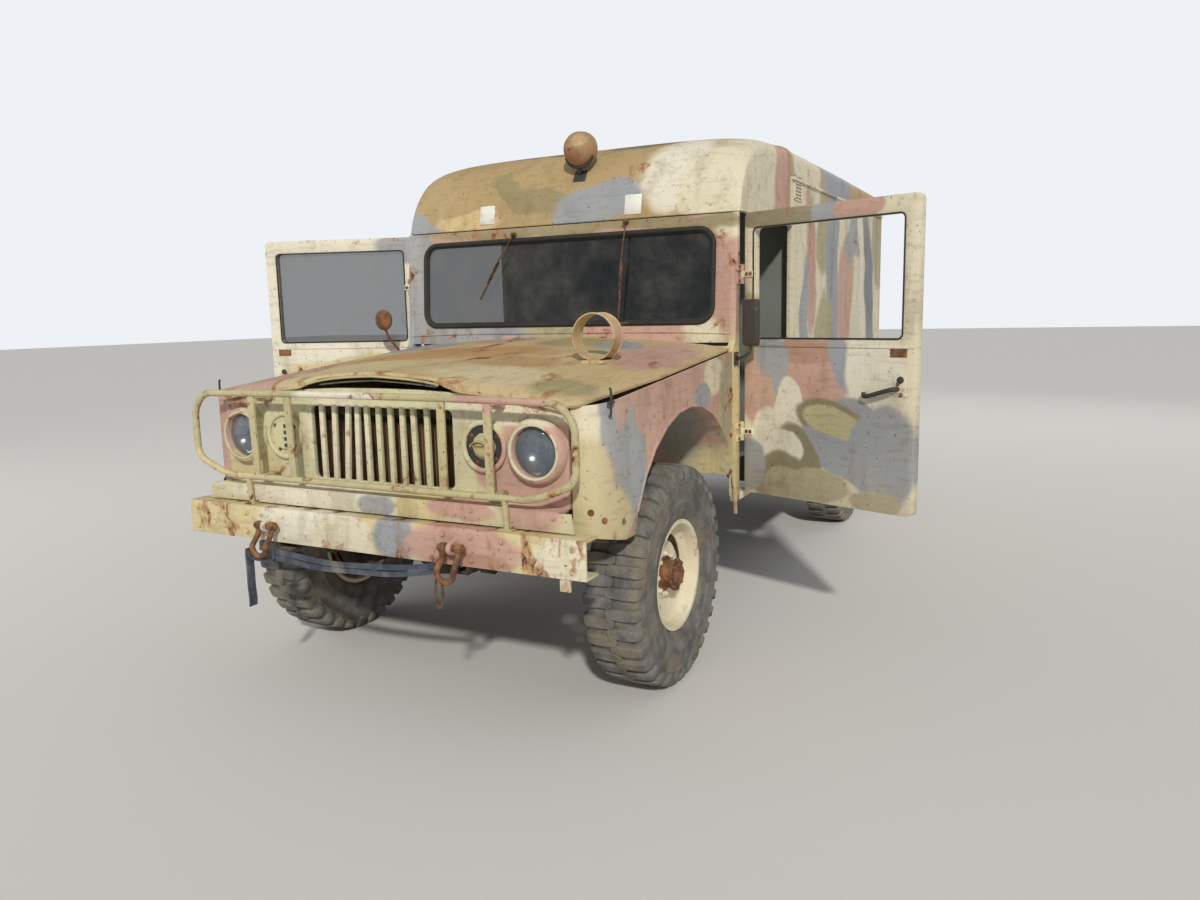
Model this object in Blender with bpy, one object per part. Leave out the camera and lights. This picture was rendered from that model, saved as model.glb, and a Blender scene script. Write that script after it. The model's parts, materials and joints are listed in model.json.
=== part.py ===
# Military ambulance truck with both cab doors open.
# Metres, +Z up. +X is the truck's left, the front faces -Y, the ground is z = 0.
# Stations are distances behind the bumper's front face; the empty "truck" puts them in the world.
from math import cos, pi, radians, sin

import bmesh
import bpy
from mathutils import Matrix, Vector

for startup in list(bpy.data.objects):
    bpy.data.objects.remove(startup)

# Overall driving dimensions
FRONT_REACH = 0.090
REAR_REACH = 5.240
BUMPER_WORLD_Y = -(REAR_REACH - FRONT_REACH) / 2
WHEELBASE = 3.2
FRONT_AXLE_Y = 0.794
REAR_AXLE_Y = FRONT_AXLE_Y + WHEELBASE
WHEEL_X = 0.851
BODY_HALF = 0.95
BODY_WALL = 0.03
BODY_END_Y = 5.05
SHEET = 0.012
GAP = 0.0003
RUN = 0.006

# Wheels and tyres
TYRE_R = 0.455
TYRE_HALF = 0.125
LUGS = 34
LUG_DEPTH = 0.016
RIB_HALF = 0.022
SHOULDER_X = 0.104
SIDE_R = 0.405
BEAD_R = 0.213
BEAD_HALF = 0.092
FLANGE_R = 0.228
FLANGE_T = 0.007
RIM_SIDES = 16
RIM_WALL = 0.008
DISC_X = 0.046
HUB_R = 0.062
HUB_FACE_X = 0.106
DRUM_R = 0.168
DRUM_EDGE_X = -0.080
SPINDLE_R = 0.030
SPINDLE_END_X = -0.010

# Chassis
RAIL_X = 0.465
RAIL_FLANGE = 0.07
RAIL_LOW = 0.61
RAIL_HIGH = 0.75
RAIL_STEEL = 0.008
RAIL_END_Y = 4.98
CROSS_STATIONS = (0.16, 2.42, 3.36, 4.46, 4.90)
CROSS_DEPTH = 0.06
AXLE_Z = TYRE_R
AXLE_R = 0.045
DIFF_R = 0.13
FRONT_DIFF_X = -0.24
SPRING_X = 0.40
SPRING_WIDTH = 0.06
SPRING_REACH = 0.56
SPRING_EYE_Z = 0.568
SPRING_SEAT_Z = 0.512
SPRING_THICK = 0.034
SPRING_EYE_R = 0.020
ENGINE_Y0 = 0.42
ENGINE_Y1 = 1.22
ENGINE_HALF = 0.27
ENGINE_LOW = 0.60
ENGINE_WAIST = 0.76
ENGINE_HIGH = 1.16
GEARBOX_LOW = 0.62
GEARBOX_HIGH = 0.745
CASE_START_Y = 1.85
SHAFT_R = 0.030
PINION_REACH = 0.21
KINGPIN_X = 0.70
YOKE_HALF = 0.080
STEER_ARM = 0.18
TIE_ROD_Z = 0.386
TIE_ROD_R = 0.015

# Front end
BUMPER_HALF = BODY_HALF - 0.001
BUMPER_LOW = 0.645
BUMPER_HIGH = 0.782
BUMPER_DEPTH = 0.09
BUMPER_STEEL = 0.008
SHACKLE_X = (("tow_shackle_left", 0.430), ("tow_shackle_right", -0.475))
SHACKLE_BAR = 0.012
SHACKLE_HALF = 0.034
SHACKLE_PIN_Y = -0.034
SHACKLE_PIN_Z = 0.716
SHACKLE_DROP = 0.078
LUG_PLATE = 0.016
PANEL_Y = 0.12
PANEL_T = 0.02
PANEL_LOW = 0.855
FENDER_NOSE = 0.124
PANEL_HALF = BODY_HALF - FENDER_NOSE
APRON_Y = 0.05
GRILLE_HALF = PANEL_HALF - 0.481
GRILLE_LOW = 0.895
GRILLE_HIGH = 1.185
SLATS = 11
SLAT_WIDTH = 0.020
SLAT_LEANS = {1: 0.010, 2: 0.024, 3: 0.012, 8: -0.006}
HEADLAMP_X = PANEL_HALF - 0.119
HEADLAMP_Z = 1.054
HEADLAMP_R = 0.089
HEADLAMP_RING = 0.116
MARKER_X = PANEL_HALF - 0.339
MARKER_Z = 1.060
MARKER_RING = 0.094
GUARD_Y = 0.028
GUARD_BAR = 0.013

# Hood and fenders
HOOD_FRONT_Y = 0.105
HOOD_REAR_Y = 1.440
HOOD_SHEET = 0.010
HOOD_COLUMNS = 12
HOOD_HALF_FRONT = BODY_HALF - 0.055
HOOD_HALF_REAR = BODY_HALF - 0.010
HOOD_EDGE_FRONT = 1.228
HOOD_EDGE_REAR = 1.350
HOOD_CROWN_FRONT = 0.070
HOOD_CROWN_REAR = 0.056
HOOD_RISE = 0.024
HOOD_LIP = 0.034
MOUTH_HALF = 0.30
MOUTH_LIP = 0.012
HOOD_HINGE_X = 0.25
HOOD_HINGE_R = 0.007
HOOD_HINGE_Z = 1.410
HOOP_X = 0.62
HOOP_Y = 0.75
HOOP_R = 0.098
HOOP_DEPTH = 0.085
DOOR_AXIS_Y = 1.575
HINGE_R = 0.011
PILLAR_END = DOOR_AXIS_Y - HINGE_R - 0.004
PILLAR_FOOT = 0.050
ARCH_SIDES = 14
ARCH_Y = 0.935
ARCH_HALF = PILLAR_END - PILLAR_FOOT - ARCH_Y
ARCH_LOW = 0.560
ARCH_HIGH = 1.132
FENDER_LOW_Y = 0.302
FENDER_LOW_Z = 0.718
INNER_WALL_X = 0.500

# Cab
COWL_Y = 1.455
TOE_Z = 0.842
FLOOR_START_Y = ARCH_Y + ARCH_HALF + SHEET + GAP
SILL_Z = 0.620
FLOOR_Z = 0.800
FLOOR_T = 0.025
SCREEN_HALF = BODY_HALF - 0.115
SCREEN_LOW = 1.470
SCREEN_HIGH = 1.905
SCREEN_RADIUS = 0.075
SCREEN_RAKE = radians(4.0)
SCREEN_FOOT_Y = 1.498
SCREEN_FRAME_T = 0.034
FRAME_LOW = 1.375
FRAME_HIGH = 1.968
GLASS_T = 0.006

# Doors
DOOR_AXIS_X = BODY_HALF + 0.007
DOOR_OPEN = radians(110.0)
DOOR_START = 0.010
DOOR_LENGTH = 0.865
DOOR_LOW = 0.660
DOOR_HIGH = 1.965
DOOR_BELT = 1.392
DOOR_T = 0.045
DOOR_TOP_RAIL = 0.072
DOOR_UPRIGHT = 0.062
HANDLE_Y = DOOR_AXIS_Y + DOOR_START + DOOR_LENGTH - 0.075
HANDLE_Z = 1.188
HANDLE_REACH = 0.032
DOORWAY_HALF = BODY_HALF - DOOR_T - RUN
HINGE_HALF = 0.045
HINGE_HEIGHTS = (0.953, 1.688)
DOOR_POST = DOOR_AXIS_Y + DOOR_START + DOOR_LENGTH + RUN
SEAT_X = BODY_HALF - 0.53
COLUMN_FOOT = Vector((SEAT_X, 1.488, 1.034))
WHEEL_HUB = Vector((SEAT_X, 1.900, 1.360))
STEER_RING_R = 0.205

# Body
ROOF_HALF = BODY_HALF + 0.002
ROOF_SHEET = 0.022
RAIL_Z = 2.251
HEM_LOW = 1.9735
HEM_HIGH = RAIL_Z - 0.020
HEM_STEP_Y = 2.395
# station, hem height, shoulder height, crown height, corner exponent
ROOF_ROWS = (
    (1.558, HEM_LOW, 1.976, 1.978, 3.0),
    (1.575, HEM_LOW, 2.030, 2.085, 3.0),
    (1.605, HEM_LOW, 2.090, 2.175, 3.0),
    (1.655, HEM_LOW, 2.155, 2.255, 3.2),
    (1.735, HEM_LOW, 2.215, 2.322, 3.6),
    (1.865, HEM_LOW, RAIL_Z, 2.368, 4.2),
    (2.050, HEM_LOW, RAIL_Z, 2.393, 5.0),
    (HEM_STEP_Y, HEM_LOW, RAIL_Z, 2.408, 6.0),
    (HEM_STEP_Y + 0.012, HEM_HIGH, RAIL_Z, 2.408, 6.0),
    (3.700, HEM_HIGH, RAIL_Z, 2.413, 6.0),
    (BODY_END_Y, HEM_HIGH, RAIL_Z, 2.404, 6.0),
)
ROOF_COLUMNS = 16
SPOT_LAMP = (0.100, 1.600, 2.336)
REAR_OPEN_HALF = 0.60
REAR_OPEN_LOW = 0.830
REAR_OPEN_HIGH = 2.110
REAR_DOOR_T = 0.035
REAR_FACE_Y = BODY_END_Y - 0.001
PARTITION_Y = 2.560
BENCH_X = 0.50
AISLE_HALF = BENCH_X - 0.04
AISLE_T = 0.004
BENCH_Z = 1.230
BENCH_START_Y = 2.750
BENCH_WALL = 0.018
BENCH_NOSE = 0.012
STEP_LOW = 0.480
STEP_T = 0.05
STEP_DEPTH = 0.175
WHEEL_CUT_HALF = 0.560
WHEEL_CUT_HIGH = 1.000

truck = bpy.data.objects.new("truck", None)
truck.location = (0.0, BUMPER_WORLD_Y, 0.0)
bpy.context.scene.collection.objects.link(truck)


def finish(name, colour, roughness, metallic=0.0):
    made = bpy.data.materials.new(name)
    made.use_nodes = True
    shader = made.node_tree.nodes["Principled BSDF"]
    shader.inputs["Base Color"].default_value = (*colour, 1.0)
    shader.inputs["Roughness"].default_value = roughness
    shader.inputs["Metallic"].default_value = metallic
    return made


CREAM = finish("cream_paint", (0.62, 0.56, 0.38), 0.75)
PINK = finish("rose_paint", (0.48, 0.27, 0.22), 0.75)
KHAKI = finish("khaki_paint", (0.30, 0.25, 0.13), 0.75)
GREY = finish("grey_blue_paint", (0.27, 0.29, 0.31), 0.75)
RUST = finish("rusty_steel", (0.26, 0.12, 0.06), 0.85, 0.3)
DARK = finish("dark_steel", (0.06, 0.055, 0.05), 0.7, 0.5)
RUBBER = finish("tyre_rubber", (0.05, 0.048, 0.045), 0.85)
GLASS = finish("window_glass", (0.25, 0.30, 0.30), 0.08)
CANVAS = finish("seat_canvas", (0.10, 0.11, 0.07), 0.9)
WEBBING = finish("navy_webbing", (0.02, 0.03, 0.07), 0.9)


def solid(bm):
    bmesh.ops.recalc_face_normals(bm, faces=bm.faces[:])
    mesh = bpy.data.meshes.new("solid")
    bm.to_mesh(mesh)
    bm.free()
    made = bpy.data.objects.new("solid", mesh)
    bpy.context.scene.collection.objects.link(made)
    return made


def loft(rings, closed=False):
    # Rings of equally many points, joined in order; the ends are capped unless it closes on itself
    bm = bmesh.new()
    loops = [[bm.verts.new(point) for point in ring] for ring in rings]
    pairs = list(zip(loops, loops[1:]))
    if closed:
        pairs.append((loops[-1], loops[0]))
    for near, far in pairs:
        for i in range(len(near)):
            j = (i + 1) % len(near)
            bm.faces.new((near[i], near[j], far[j], far[i]))
    if not closed:
        bm.faces.new(loops[0])
        bm.faces.new(loops[-1])
    return solid(bm)


def placed(axis, a, b, along):
    return {"x": (along, a, b), "y": (a, along, b), "z": (a, b, along)}[axis]


def prism(outline, axis, low, high):
    # An outline extruded along an axis; its points are (y, z), (x, z) or (x, y)
    return loft([[placed(axis, a, b, at) for a, b in outline] for at in (low, high)])


def block(x0, x1, y0, y1, z0, z1):
    return prism(((x0, y0), (x1, y0), (x1, y1), (x0, y1)), "z", z0, z1)


def arc(centre_a, centre_b, radius, start, end, steps):
    turns = [start + (end - start) * i / steps for i in range(steps + 1)]
    return [(centre_a + radius * cos(t), centre_b + radius * sin(t)) for t in turns]


def rounded(a0, a1, b0, b1, radius, steps=3):
    corners = ((a1, b1, 0), (a0, b1, 1), (a0, b0, 2), (a1, b0, 3))
    points = []
    for a, b, quarter in corners:
        inner_a = a - radius if a == a1 else a + radius
        inner_b = b - radius if b == b1 else b + radius
        points += arc(inner_a, inner_b, radius, quarter * pi / 2, (quarter + 1) * pi / 2, steps)
    return points


def turned(profile, axis, centre, sides, side=1.0):
    # A closed profile of (along, radius) points turned about an axis through the centre
    bm = bmesh.new()
    rows = []
    for along, radius in profile:
        if radius < 1e-9:
            rows.append([bm.verts.new(turn_point(axis, centre, along * side, 0.0, 0.0))] * sides)
        else:
            rows.append([
                bm.verts.new(turn_point(axis, centre, along * side, radius, 2 * pi * k / sides))
                for k in range(sides)
            ])
    for near, far in zip(rows, rows[1:] + rows[:1]):
        for k in range(sides):
            corners = (near[k], near[(k + 1) % sides], far[(k + 1) % sides], far[k])
            face = list(dict.fromkeys(corners))
            if len(face) > 2:
                bm.faces.new(face)
    return solid(bm)


def turn_point(axis, centre, along, radius, angle):
    across, up = radius * cos(angle), radius * sin(angle)
    offset = {"x": (along, across, up), "y": (across, along, up), "z": (across, up, along)}[axis]
    return Vector(centre) + Vector(offset)


def rod(axis, centre, radius, low, high, sides=16):
    return turned(((low, 0.0), (low, radius), (high, radius), (high, 0.0)), axis, centre, sides)


def tube(points, radius, sides=8, closed=False):
    # A bar of round section along a route, turned at each point to halve the bend
    points = [Vector(p) for p in points]
    count = len(points)
    rings = []
    normal = None
    for i, point in enumerate(points):
        before = points[i - 1] if i or closed else point
        after = points[(i + 1) % count] if i + 1 < count or closed else point
        heading = (after - before).normalized()
        if normal is None:
            normal = heading.orthogonal().normalized()
        normal = (normal - heading * normal.dot(heading)).normalized()
        side = heading.cross(normal)
        rings.append([
            point + radius * (cos(2 * pi * k / sides) * normal + sin(2 * pi * k / sides) * side)
            for k in range(sides)
        ])
    return loft(rings, closed)


def sheet(rows, thickness, even=True):
    # A panel through a grid of points, its thickness laid on the side away from the faces' normals
    bm = bmesh.new()
    grid = [[bm.verts.new(point) for point in row] for row in rows]
    for near, far in zip(grid, grid[1:]):
        for i in range(len(near) - 1):
            bm.faces.new((near[i], near[i + 1], far[i + 1], far[i]))
    mesh = bpy.data.meshes.new("sheet")
    bm.to_mesh(mesh)
    bm.free()
    made = bpy.data.objects.new("sheet", mesh)
    bpy.context.scene.collection.objects.link(made)
    thicken = made.modifiers.new("thickness", "SOLIDIFY")
    thicken.thickness = thickness
    thicken.offset = -1.0
    thicken.use_even_offset = even
    return evaluated(made)


def evaluated(made):
    bpy.context.view_layer.update()
    graph = bpy.context.evaluated_depsgraph_get()
    mesh = bpy.data.meshes.new_from_object(made.evaluated_get(graph))
    fresh = bpy.data.objects.new("solid", mesh)
    fresh.matrix_world = made.matrix_world.copy()
    bpy.context.scene.collection.objects.link(fresh)
    bpy.data.objects.remove(made)
    return fresh


def moved(made, matrix):
    made.data.transform(matrix)
    if matrix.determinant() < 0.0:
        made.data.flip_normals()
    return made


def mirrored(made):
    # The same shape on the truck's other side
    mesh = made.data.copy()
    twin = bpy.data.objects.new("solid", mesh)
    bpy.context.scene.collection.objects.link(twin)
    return moved(twin, Matrix.Scale(-1.0, 4, (1.0, 0.0, 0.0)))


def boolean(base, operation, others):
    group = bpy.data.collections.new(operation)
    bpy.context.scene.collection.children.link(group)
    for other in others:
        group.objects.link(other)
    modifier = base.modifiers.new(operation, "BOOLEAN")
    modifier.operation = operation
    modifier.operand_type = "COLLECTION"
    modifier.collection = group
    modifier.solver = "EXACT"
    result = evaluated(base)
    for other in others:
        bpy.data.objects.remove(other)
    bpy.data.collections.remove(group)
    return result


def fused(solids, cutters=()):
    base = solids[0]
    if len(solids) > 1:
        base = boolean(base, "UNION", list(solids[1:]))
    if cutters:
        base = boolean(base, "DIFFERENCE", list(cutters))
    return base


def node(name, made, material, smooth=None):
    made.name = name
    made.data.name = name
    made.parent = truck
    made.data.materials.clear()
    made.data.materials.append(material)
    if smooth:
        made.data.shade_smooth()
        made.data.set_sharp_from_angle(angle=radians(smooth))
    return made


def both_sides(name, made, material, smooth=None):
    twin = mirrored(made)
    node(name + "_left", made, material, smooth)
    node(name + "_right", twin, material, smooth)


def chassis_frame():
    steel = RAIL_STEEL
    inner = RAIL_X - RAIL_FLANGE
    channel = (
        (RAIL_X, RAIL_LOW), (RAIL_X, RAIL_HIGH), (inner, RAIL_HIGH), (inner, RAIL_HIGH - steel),
        (RAIL_X - steel, RAIL_HIGH - steel), (RAIL_X - steel, RAIL_LOW + steel),
        (inner, RAIL_LOW + steel), (inner, RAIL_LOW),
    )
    start = BUMPER_STEEL + GAP
    rail = prism(channel, "y", start, RAIL_END_Y)
    parts = [rail, mirrored(rail)]
    for station in CROSS_STATIONS:
        half = RAIL_X - steel / 2
        parts.append(block(-half, half, station, station + CROSS_DEPTH,
                           RAIL_LOW + 2 * steel, RAIL_HIGH - 2 * steel))
    for axle_y in (FRONT_AXLE_Y, REAR_AXLE_Y):
        for end in (-1, 1):
            eye_y = axle_y + end * SPRING_REACH
            for side in (-1, 1):
                centre = side * SPRING_X
                hanger_half = SPRING_WIDTH / 2
                foot = SPRING_EYE_Z + SPRING_EYE_R + GAP
                parts.append(block(centre - hanger_half, centre + hanger_half,
                                   eye_y - 0.03, eye_y + 0.03, foot, RAIL_LOW + steel / 2))
    for side in (-1, 1):
        near, far = sorted((side * (ENGINE_HALF + GAP), side * (RAIL_X - steel / 2)))
        parts.append(block(near, far, ENGINE_Y0 + 0.18, ENGINE_Y0 + 0.26,
                           RAIL_HIGH - steel / 2, ENGINE_WAIST + 0.04))
    node("chassis_frame", fused(parts), DARK)


def front_bumper():
    steel = BUMPER_STEEL
    channel = (
        (0.0, BUMPER_LOW), (BUMPER_DEPTH, BUMPER_LOW), (BUMPER_DEPTH, BUMPER_LOW + steel),
        (steel, BUMPER_LOW + steel), (steel, BUMPER_HIGH - steel),
        (BUMPER_DEPTH, BUMPER_HIGH - steel), (BUMPER_DEPTH, BUMPER_HIGH), (0.0, BUMPER_HIGH),
    )
    bar = prism(channel, "x", -BUMPER_HALF, BUMPER_HALF)
    parts = [bar]
    rail_slots = []
    for _, x in SHACKLE_X:
        parts.append(prism(
            [(steel / 2, SHACKLE_PIN_Z - 0.034), (SHACKLE_PIN_Y, SHACKLE_PIN_Z - 0.024)]
            + arc(SHACKLE_PIN_Y, SHACKLE_PIN_Z, 0.024, 1.5 * pi, 0.5 * pi, 6)[1:]
            + [(steel / 2, SHACKLE_PIN_Z + 0.034)],
            "x", x - LUG_PLATE / 2, x + LUG_PLATE / 2))
    for side in (-1, 1):
        low, high = sorted((side * (RAIL_X - RAIL_FLANGE - 0.006), side * (RAIL_X + 0.006)))
        rail_slots.append(block(low, high, steel, BUMPER_DEPTH + 0.02, BUMPER_LOW - 0.02, BUMPER_HIGH - steel))
    eyes = [rod("x", (x, SHACKLE_PIN_Y, SHACKLE_PIN_Z), SHACKLE_BAR + GAP, -0.03, 0.03, 12)
            for _, x in SHACKLE_X]
    tab = block(BUMPER_HALF - 0.104, BUMPER_HALF - 0.064, 0.004, 0.012, BUMPER_LOW - 0.045, BUMPER_LOW + 0.01)
    node("front_bumper", fused(parts + [tab], rail_slots + eyes), CREAM)


def tow_shackles():
    # A bow hanging from its pin, which passes through the bumper's lug
    for name, x in SHACKLE_X:
        top = SHACKLE_PIN_Z
        centre_z = top - SHACKLE_DROP
        lean = FRONT_REACH + SHACKLE_PIN_Y - SHACKLE_BAR
        bow = [(x - SHACKLE_HALF, SHACKLE_PIN_Y, top + 0.018)]
        for px, pz in arc(x, centre_z, SHACKLE_HALF, pi, 2 * pi, 8):
            bow.append((px, SHACKLE_PIN_Y - lean, pz))
        bow.append((x + SHACKLE_HALF, SHACKLE_PIN_Y, top + 0.018))
        pin = rod("x", (x, SHACKLE_PIN_Y, top), SHACKLE_BAR, -SHACKLE_HALF - 0.022,
                  SHACKLE_HALF + 0.022, 12)
        node(name, fused([tube(bow, SHACKLE_BAR, 8), pin]), RUST, 40)


def tow_strap():
    # Doubled webbing slung between the shackles, its tail hanging free at the truck's right
    left, right = SHACKLE_X[0][1], SHACKLE_X[1][1]
    bow_z = SHACKLE_PIN_Z - SHACKLE_DROP - SHACKLE_HALF
    y = SHACKLE_PIN_Y - 0.026
    hang = SHACKLE_BAR + 0.002
    rows = []
    steps = 12
    start = right + 0.052
    end = left - SHACKLE_HALF - SHACKLE_BAR - GAP
    for i in range(steps + 1):
        t = i / steps
        x = start + (end - start) * t
        sag = 0.030 * 4 * t * (1 - t)
        rows.append((x, bow_z + 0.012 + 0.028 * t - sag))
    width, thick = 0.044, 0.010
    rings = []
    for x, z in rows:
        rings.append([(x, y - thick / 2, z - width / 2), (x, y + thick / 2, z - width / 2),
                      (x, y + thick / 2, z + width / 2), (x, y - thick / 2, z + width / 2)])
    band = loft(rings)
    tail_x = right - SHACKLE_HALF - SHACKLE_BAR - hang - 0.008
    tail = block(tail_x - 0.012, tail_x, y - 0.022, y + 0.018, 0.386, bow_z + 0.02)
    foot = bow_z - SHACKLE_BAR - 0.004
    wrap = block(tail_x - 0.012, right + 0.075, y - 0.012, y + 0.010, foot - 0.010, foot)
    rise = block(right + 0.063, right + 0.075, y - 0.012, y + 0.010, foot - 0.010, bow_z + 0.02)
    node("tow_strap", fused([band, rise, wrap, tail]), WEBBING)


def hood_half(y):
    t = (y - HOOD_FRONT_Y) / (HOOD_REAR_Y - HOOD_FRONT_Y)
    return HOOD_HALF_FRONT + (HOOD_HALF_REAR - HOOD_HALF_FRONT) * min(1.0, t * 2.5)


def hood_top(x, y, rise=HOOD_RISE):
    # Height of the hood's upper skin: a crowned panel that rises toward the cowl
    t = (y - HOOD_FRONT_Y) / (HOOD_REAR_Y - HOOD_FRONT_Y)
    edge = HOOD_EDGE_FRONT + (HOOD_EDGE_REAR - HOOD_EDGE_FRONT) * t
    crown = HOOD_CROWN_FRONT + (HOOD_CROWN_REAR - HOOD_CROWN_FRONT) * t
    share = min(1.0, abs(x) / hood_half(y))
    scoop = max(0.0, 1.0 - abs(x) / 0.36) ** 0.5 * rise * max(0.0, 1.0 - t * 3.0)
    return edge + crown * (1.0 - share ** 2.4) + scoop


def hood():
    stations = (HOOD_FRONT_Y, 0.20, 0.38, 0.62, 0.95, 1.22, HOOD_REAR_Y)
    rows = []
    lip = []
    for i in range(-HOOD_COLUMNS // 2, HOOD_COLUMNS // 2 + 1):
        x = 2 * i / HOOD_COLUMNS * hood_half(HOOD_FRONT_Y)
        drop = MOUTH_LIP if abs(x) < MOUTH_HALF else HOOD_LIP
        lip.append((x, HOOD_FRONT_Y - 0.006, hood_top(x, HOOD_FRONT_Y) - drop))
    rows.append(lip)
    for y in stations:
        row = []
        for i in range(-HOOD_COLUMNS // 2, HOOD_COLUMNS // 2 + 1):
            x = 2 * i / HOOD_COLUMNS * hood_half(y)
            row.append((x, y, hood_top(x, y)))
        rows.append(row)
    skin = sheet(rows, HOOD_SHEET)
    # The lamp hoop: a round band of sheet standing on a foot
    foot_z = hood_top(HOOP_X, HOOP_Y)
    centre = (HOOP_X, HOOP_Y, foot_z + HOOP_R + 0.004)
    band = turned(((-HOOP_DEPTH / 2, HOOP_R), (HOOP_DEPTH / 2, HOOP_R),
                   (HOOP_DEPTH / 2, HOOP_R - 0.006), (-HOOP_DEPTH / 2, HOOP_R - 0.006)),
                  "y", centre, 20)
    foot = block(HOOP_X - 0.05, HOOP_X + 0.05, HOOP_Y - 0.055, HOOP_Y + 0.055,
                 foot_z - 0.014, foot_z + 0.008)
    hinges = []
    for side in (-1, 1):
        low, high = side * HOOD_HINGE_X - 0.030, side * HOOD_HINGE_X + 0.030
        hinges.append(rod("x", (0.0, hood_axis_y(), HOOD_HINGE_Z), HOOD_HINGE_R, low, high, 10))
        hinges.append(block(low, high, HOOD_REAR_Y - 0.030, hood_axis_y(),
                            HOOD_HINGE_Z - 0.013, HOOD_HINGE_Z - 0.001))
    made = node("hood", fused([skin, band, foot] + hinges), CREAM, 30)
    pivot = (0.0, hood_axis_y(), HOOD_HINGE_Z)
    hung(made, pivot, pivot)


def hood_axis_y():
    return (HOOD_REAR_Y + COWL_Y) / 2


def fender_top(y):
    return hood_top(hood_half(y), y) - HOOD_SHEET - RUN


def arch_outline(grow):
    # The wheel opening: an arch with straight feet below it
    points = [(ARCH_Y - ARCH_HALF - grow, ARCH_LOW - 0.2)]
    height = ARCH_HIGH - ARCH_LOW
    for i in range(ARCH_SIDES + 1):
        t = pi - pi * i / ARCH_SIDES
        points.append((ARCH_Y + (ARCH_HALF + grow) * cos(t), ARCH_LOW + (height + grow) * sin(t)))
    points.append((ARCH_Y + ARCH_HALF + grow, ARCH_LOW - 0.2))
    return points


def fenders():
    # Plan of the skin: round from the front panel's edge to the side
    nose = [(BODY_HALF - FENDER_NOSE * share, y) for share, y in ((0.58, 0.134), (0.28, 0.158), (0.08, 0.205))]
    flank = [(BODY_HALF, y) for y in (0.270, 0.60, 0.95, 1.22, COWL_Y - GAP)]
    plan = [(PANEL_HALF + RUN, 0.128)] + nose + flank
    rows = []
    for share in (0.0, 1.0):
        row = []
        for x, y in plan:
            top = min(fender_top(y), hood_top(x, max(y, HOOD_FRONT_Y)) - HOOD_SHEET - RUN)
            row.append((x, y, ARCH_LOW + (top - ARCH_LOW) * share))
        rows.append(row)
    skin = sheet(rows, SHEET)
    inner, outer = arch_outline(0.0), arch_outline(SHEET)
    liner = prism(inner + outer[::-1], "x", INNER_WALL_X, BODY_HALF + 0.004)
    wall = prism(arch_outline(SHEET / 2), "x", INNER_WALL_X, INNER_WALL_X + SHEET)
    rear = block(INNER_WALL_X, BODY_HALF - SHEET / 2, COWL_Y - SHEET, COWL_Y - GAP, ARCH_LOW + 0.1, 1.26)
    opening = prism(inner, "x", INNER_WALL_X + SHEET, 1.1)
    low_front = prism(((-0.1, 0.4), (FENDER_LOW_Y + 0.15, 0.4), (FENDER_LOW_Y + 0.15, FENDER_LOW_Z),
                       (FENDER_LOW_Y, FENDER_LOW_Z), (0.0, FENDER_LOW_Z + 0.07)), "x", 0.3, 1.2)
    below = block(0.3, 1.2, 0.2, ARCH_Y, 0.2, 0.80)
    low_back = block(0.3, BODY_HALF - SHEET, ARCH_Y, 1.6, 0.2, 0.76)
    low_edge = block(0.3, 1.2, ARCH_Y, 1.6, 0.2, ARCH_LOW)
    skin_only = fused([skin], [opening, low_front])
    trims = [below, low_back, low_edge]
    shell = fused([liner, wall, rear], trims)
    both_sides("fender", fused([skin_only, shell]), PINK, 35)


def front_panel():
    # One panel with the grille and lamp openings; slats and lamp rings are part of it
    top = []
    for i in range(9):
        x = PANEL_HALF * (1 - i / 4)
        top.append((x, hood_top(x, HOOD_FRONT_Y, 0.0) - HOOD_LIP - RUN))
    outline = [(-PANEL_HALF, PANEL_LOW), (PANEL_HALF, PANEL_LOW)] + top
    plate = prism(outline, "y", PANEL_Y, PANEL_Y + PANEL_T)
    foot, head = PANEL_HALF + 0.054, PANEL_HALF + 0.039
    low = BUMPER_HIGH + RUN
    apron = prism([(-foot, low), (foot, low), (head, PANEL_LOW), (-head, PANEL_LOW)], "y",
                  APRON_Y, APRON_Y + SHEET)
    half = PANEL_HALF - 0.01
    shelf = block(-half, half, APRON_Y + 0.002, PANEL_Y + PANEL_T / 2, PANEL_LOW - 0.010, PANEL_LOW + 0.004)
    parts = [plate, apron, shelf]
    holes = [prism(rounded(-GRILLE_HALF, GRILLE_HALF, GRILLE_LOW, GRILLE_HIGH, 0.02), "y", 0.0, 0.3)]
    for side in (-1, 1):
        lamp = (side * HEADLAMP_X, PANEL_Y, HEADLAMP_Z)
        parts.append(turned(((-0.030, HEADLAMP_R + 0.004), (-0.030, HEADLAMP_R + 0.016),
                             (0.006, HEADLAMP_RING), (0.006, HEADLAMP_R + 0.004)), "y", lamp, 16))
        holes.append(rod("y", lamp, HEADLAMP_R, -0.01, 0.05, 16))
        marker = (side * MARKER_X, PANEL_Y, MARKER_Z)
        parts.append(turned(((-0.010, MARKER_RING - 0.014), (-0.010, MARKER_RING),
                             (0.006, MARKER_RING), (0.006, MARKER_RING - 0.014)), "y", marker, 14))
        parts.append(rod("y", marker, 0.050, -0.012, 0.010, 10))
    body = fused(parts, holes)
    bars = []
    pitch = 2 * GRILLE_HALF / (SLATS + 1)
    for i in range(SLATS):
        x = -GRILLE_HALF + pitch * (i + 1)
        rings = []
        for z, lean in ((GRILLE_LOW - 0.012, 0.0), (GRILLE_HIGH + 0.012, SLAT_LEANS.get(i, 0.0))):
            x0, x1 = x + lean - SLAT_WIDTH / 2, x + lean + SLAT_WIDTH / 2
            y0, y1 = PANEL_Y - 0.006, PANEL_Y + 0.010
            rings.append([(x0, y0, z), (x1, y0, z), (x1, y1, z), (x0, y1, z)])
        bars.append(loft(rings))
    node("front_panel", fused([body] + bars), KHAKI)


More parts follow.
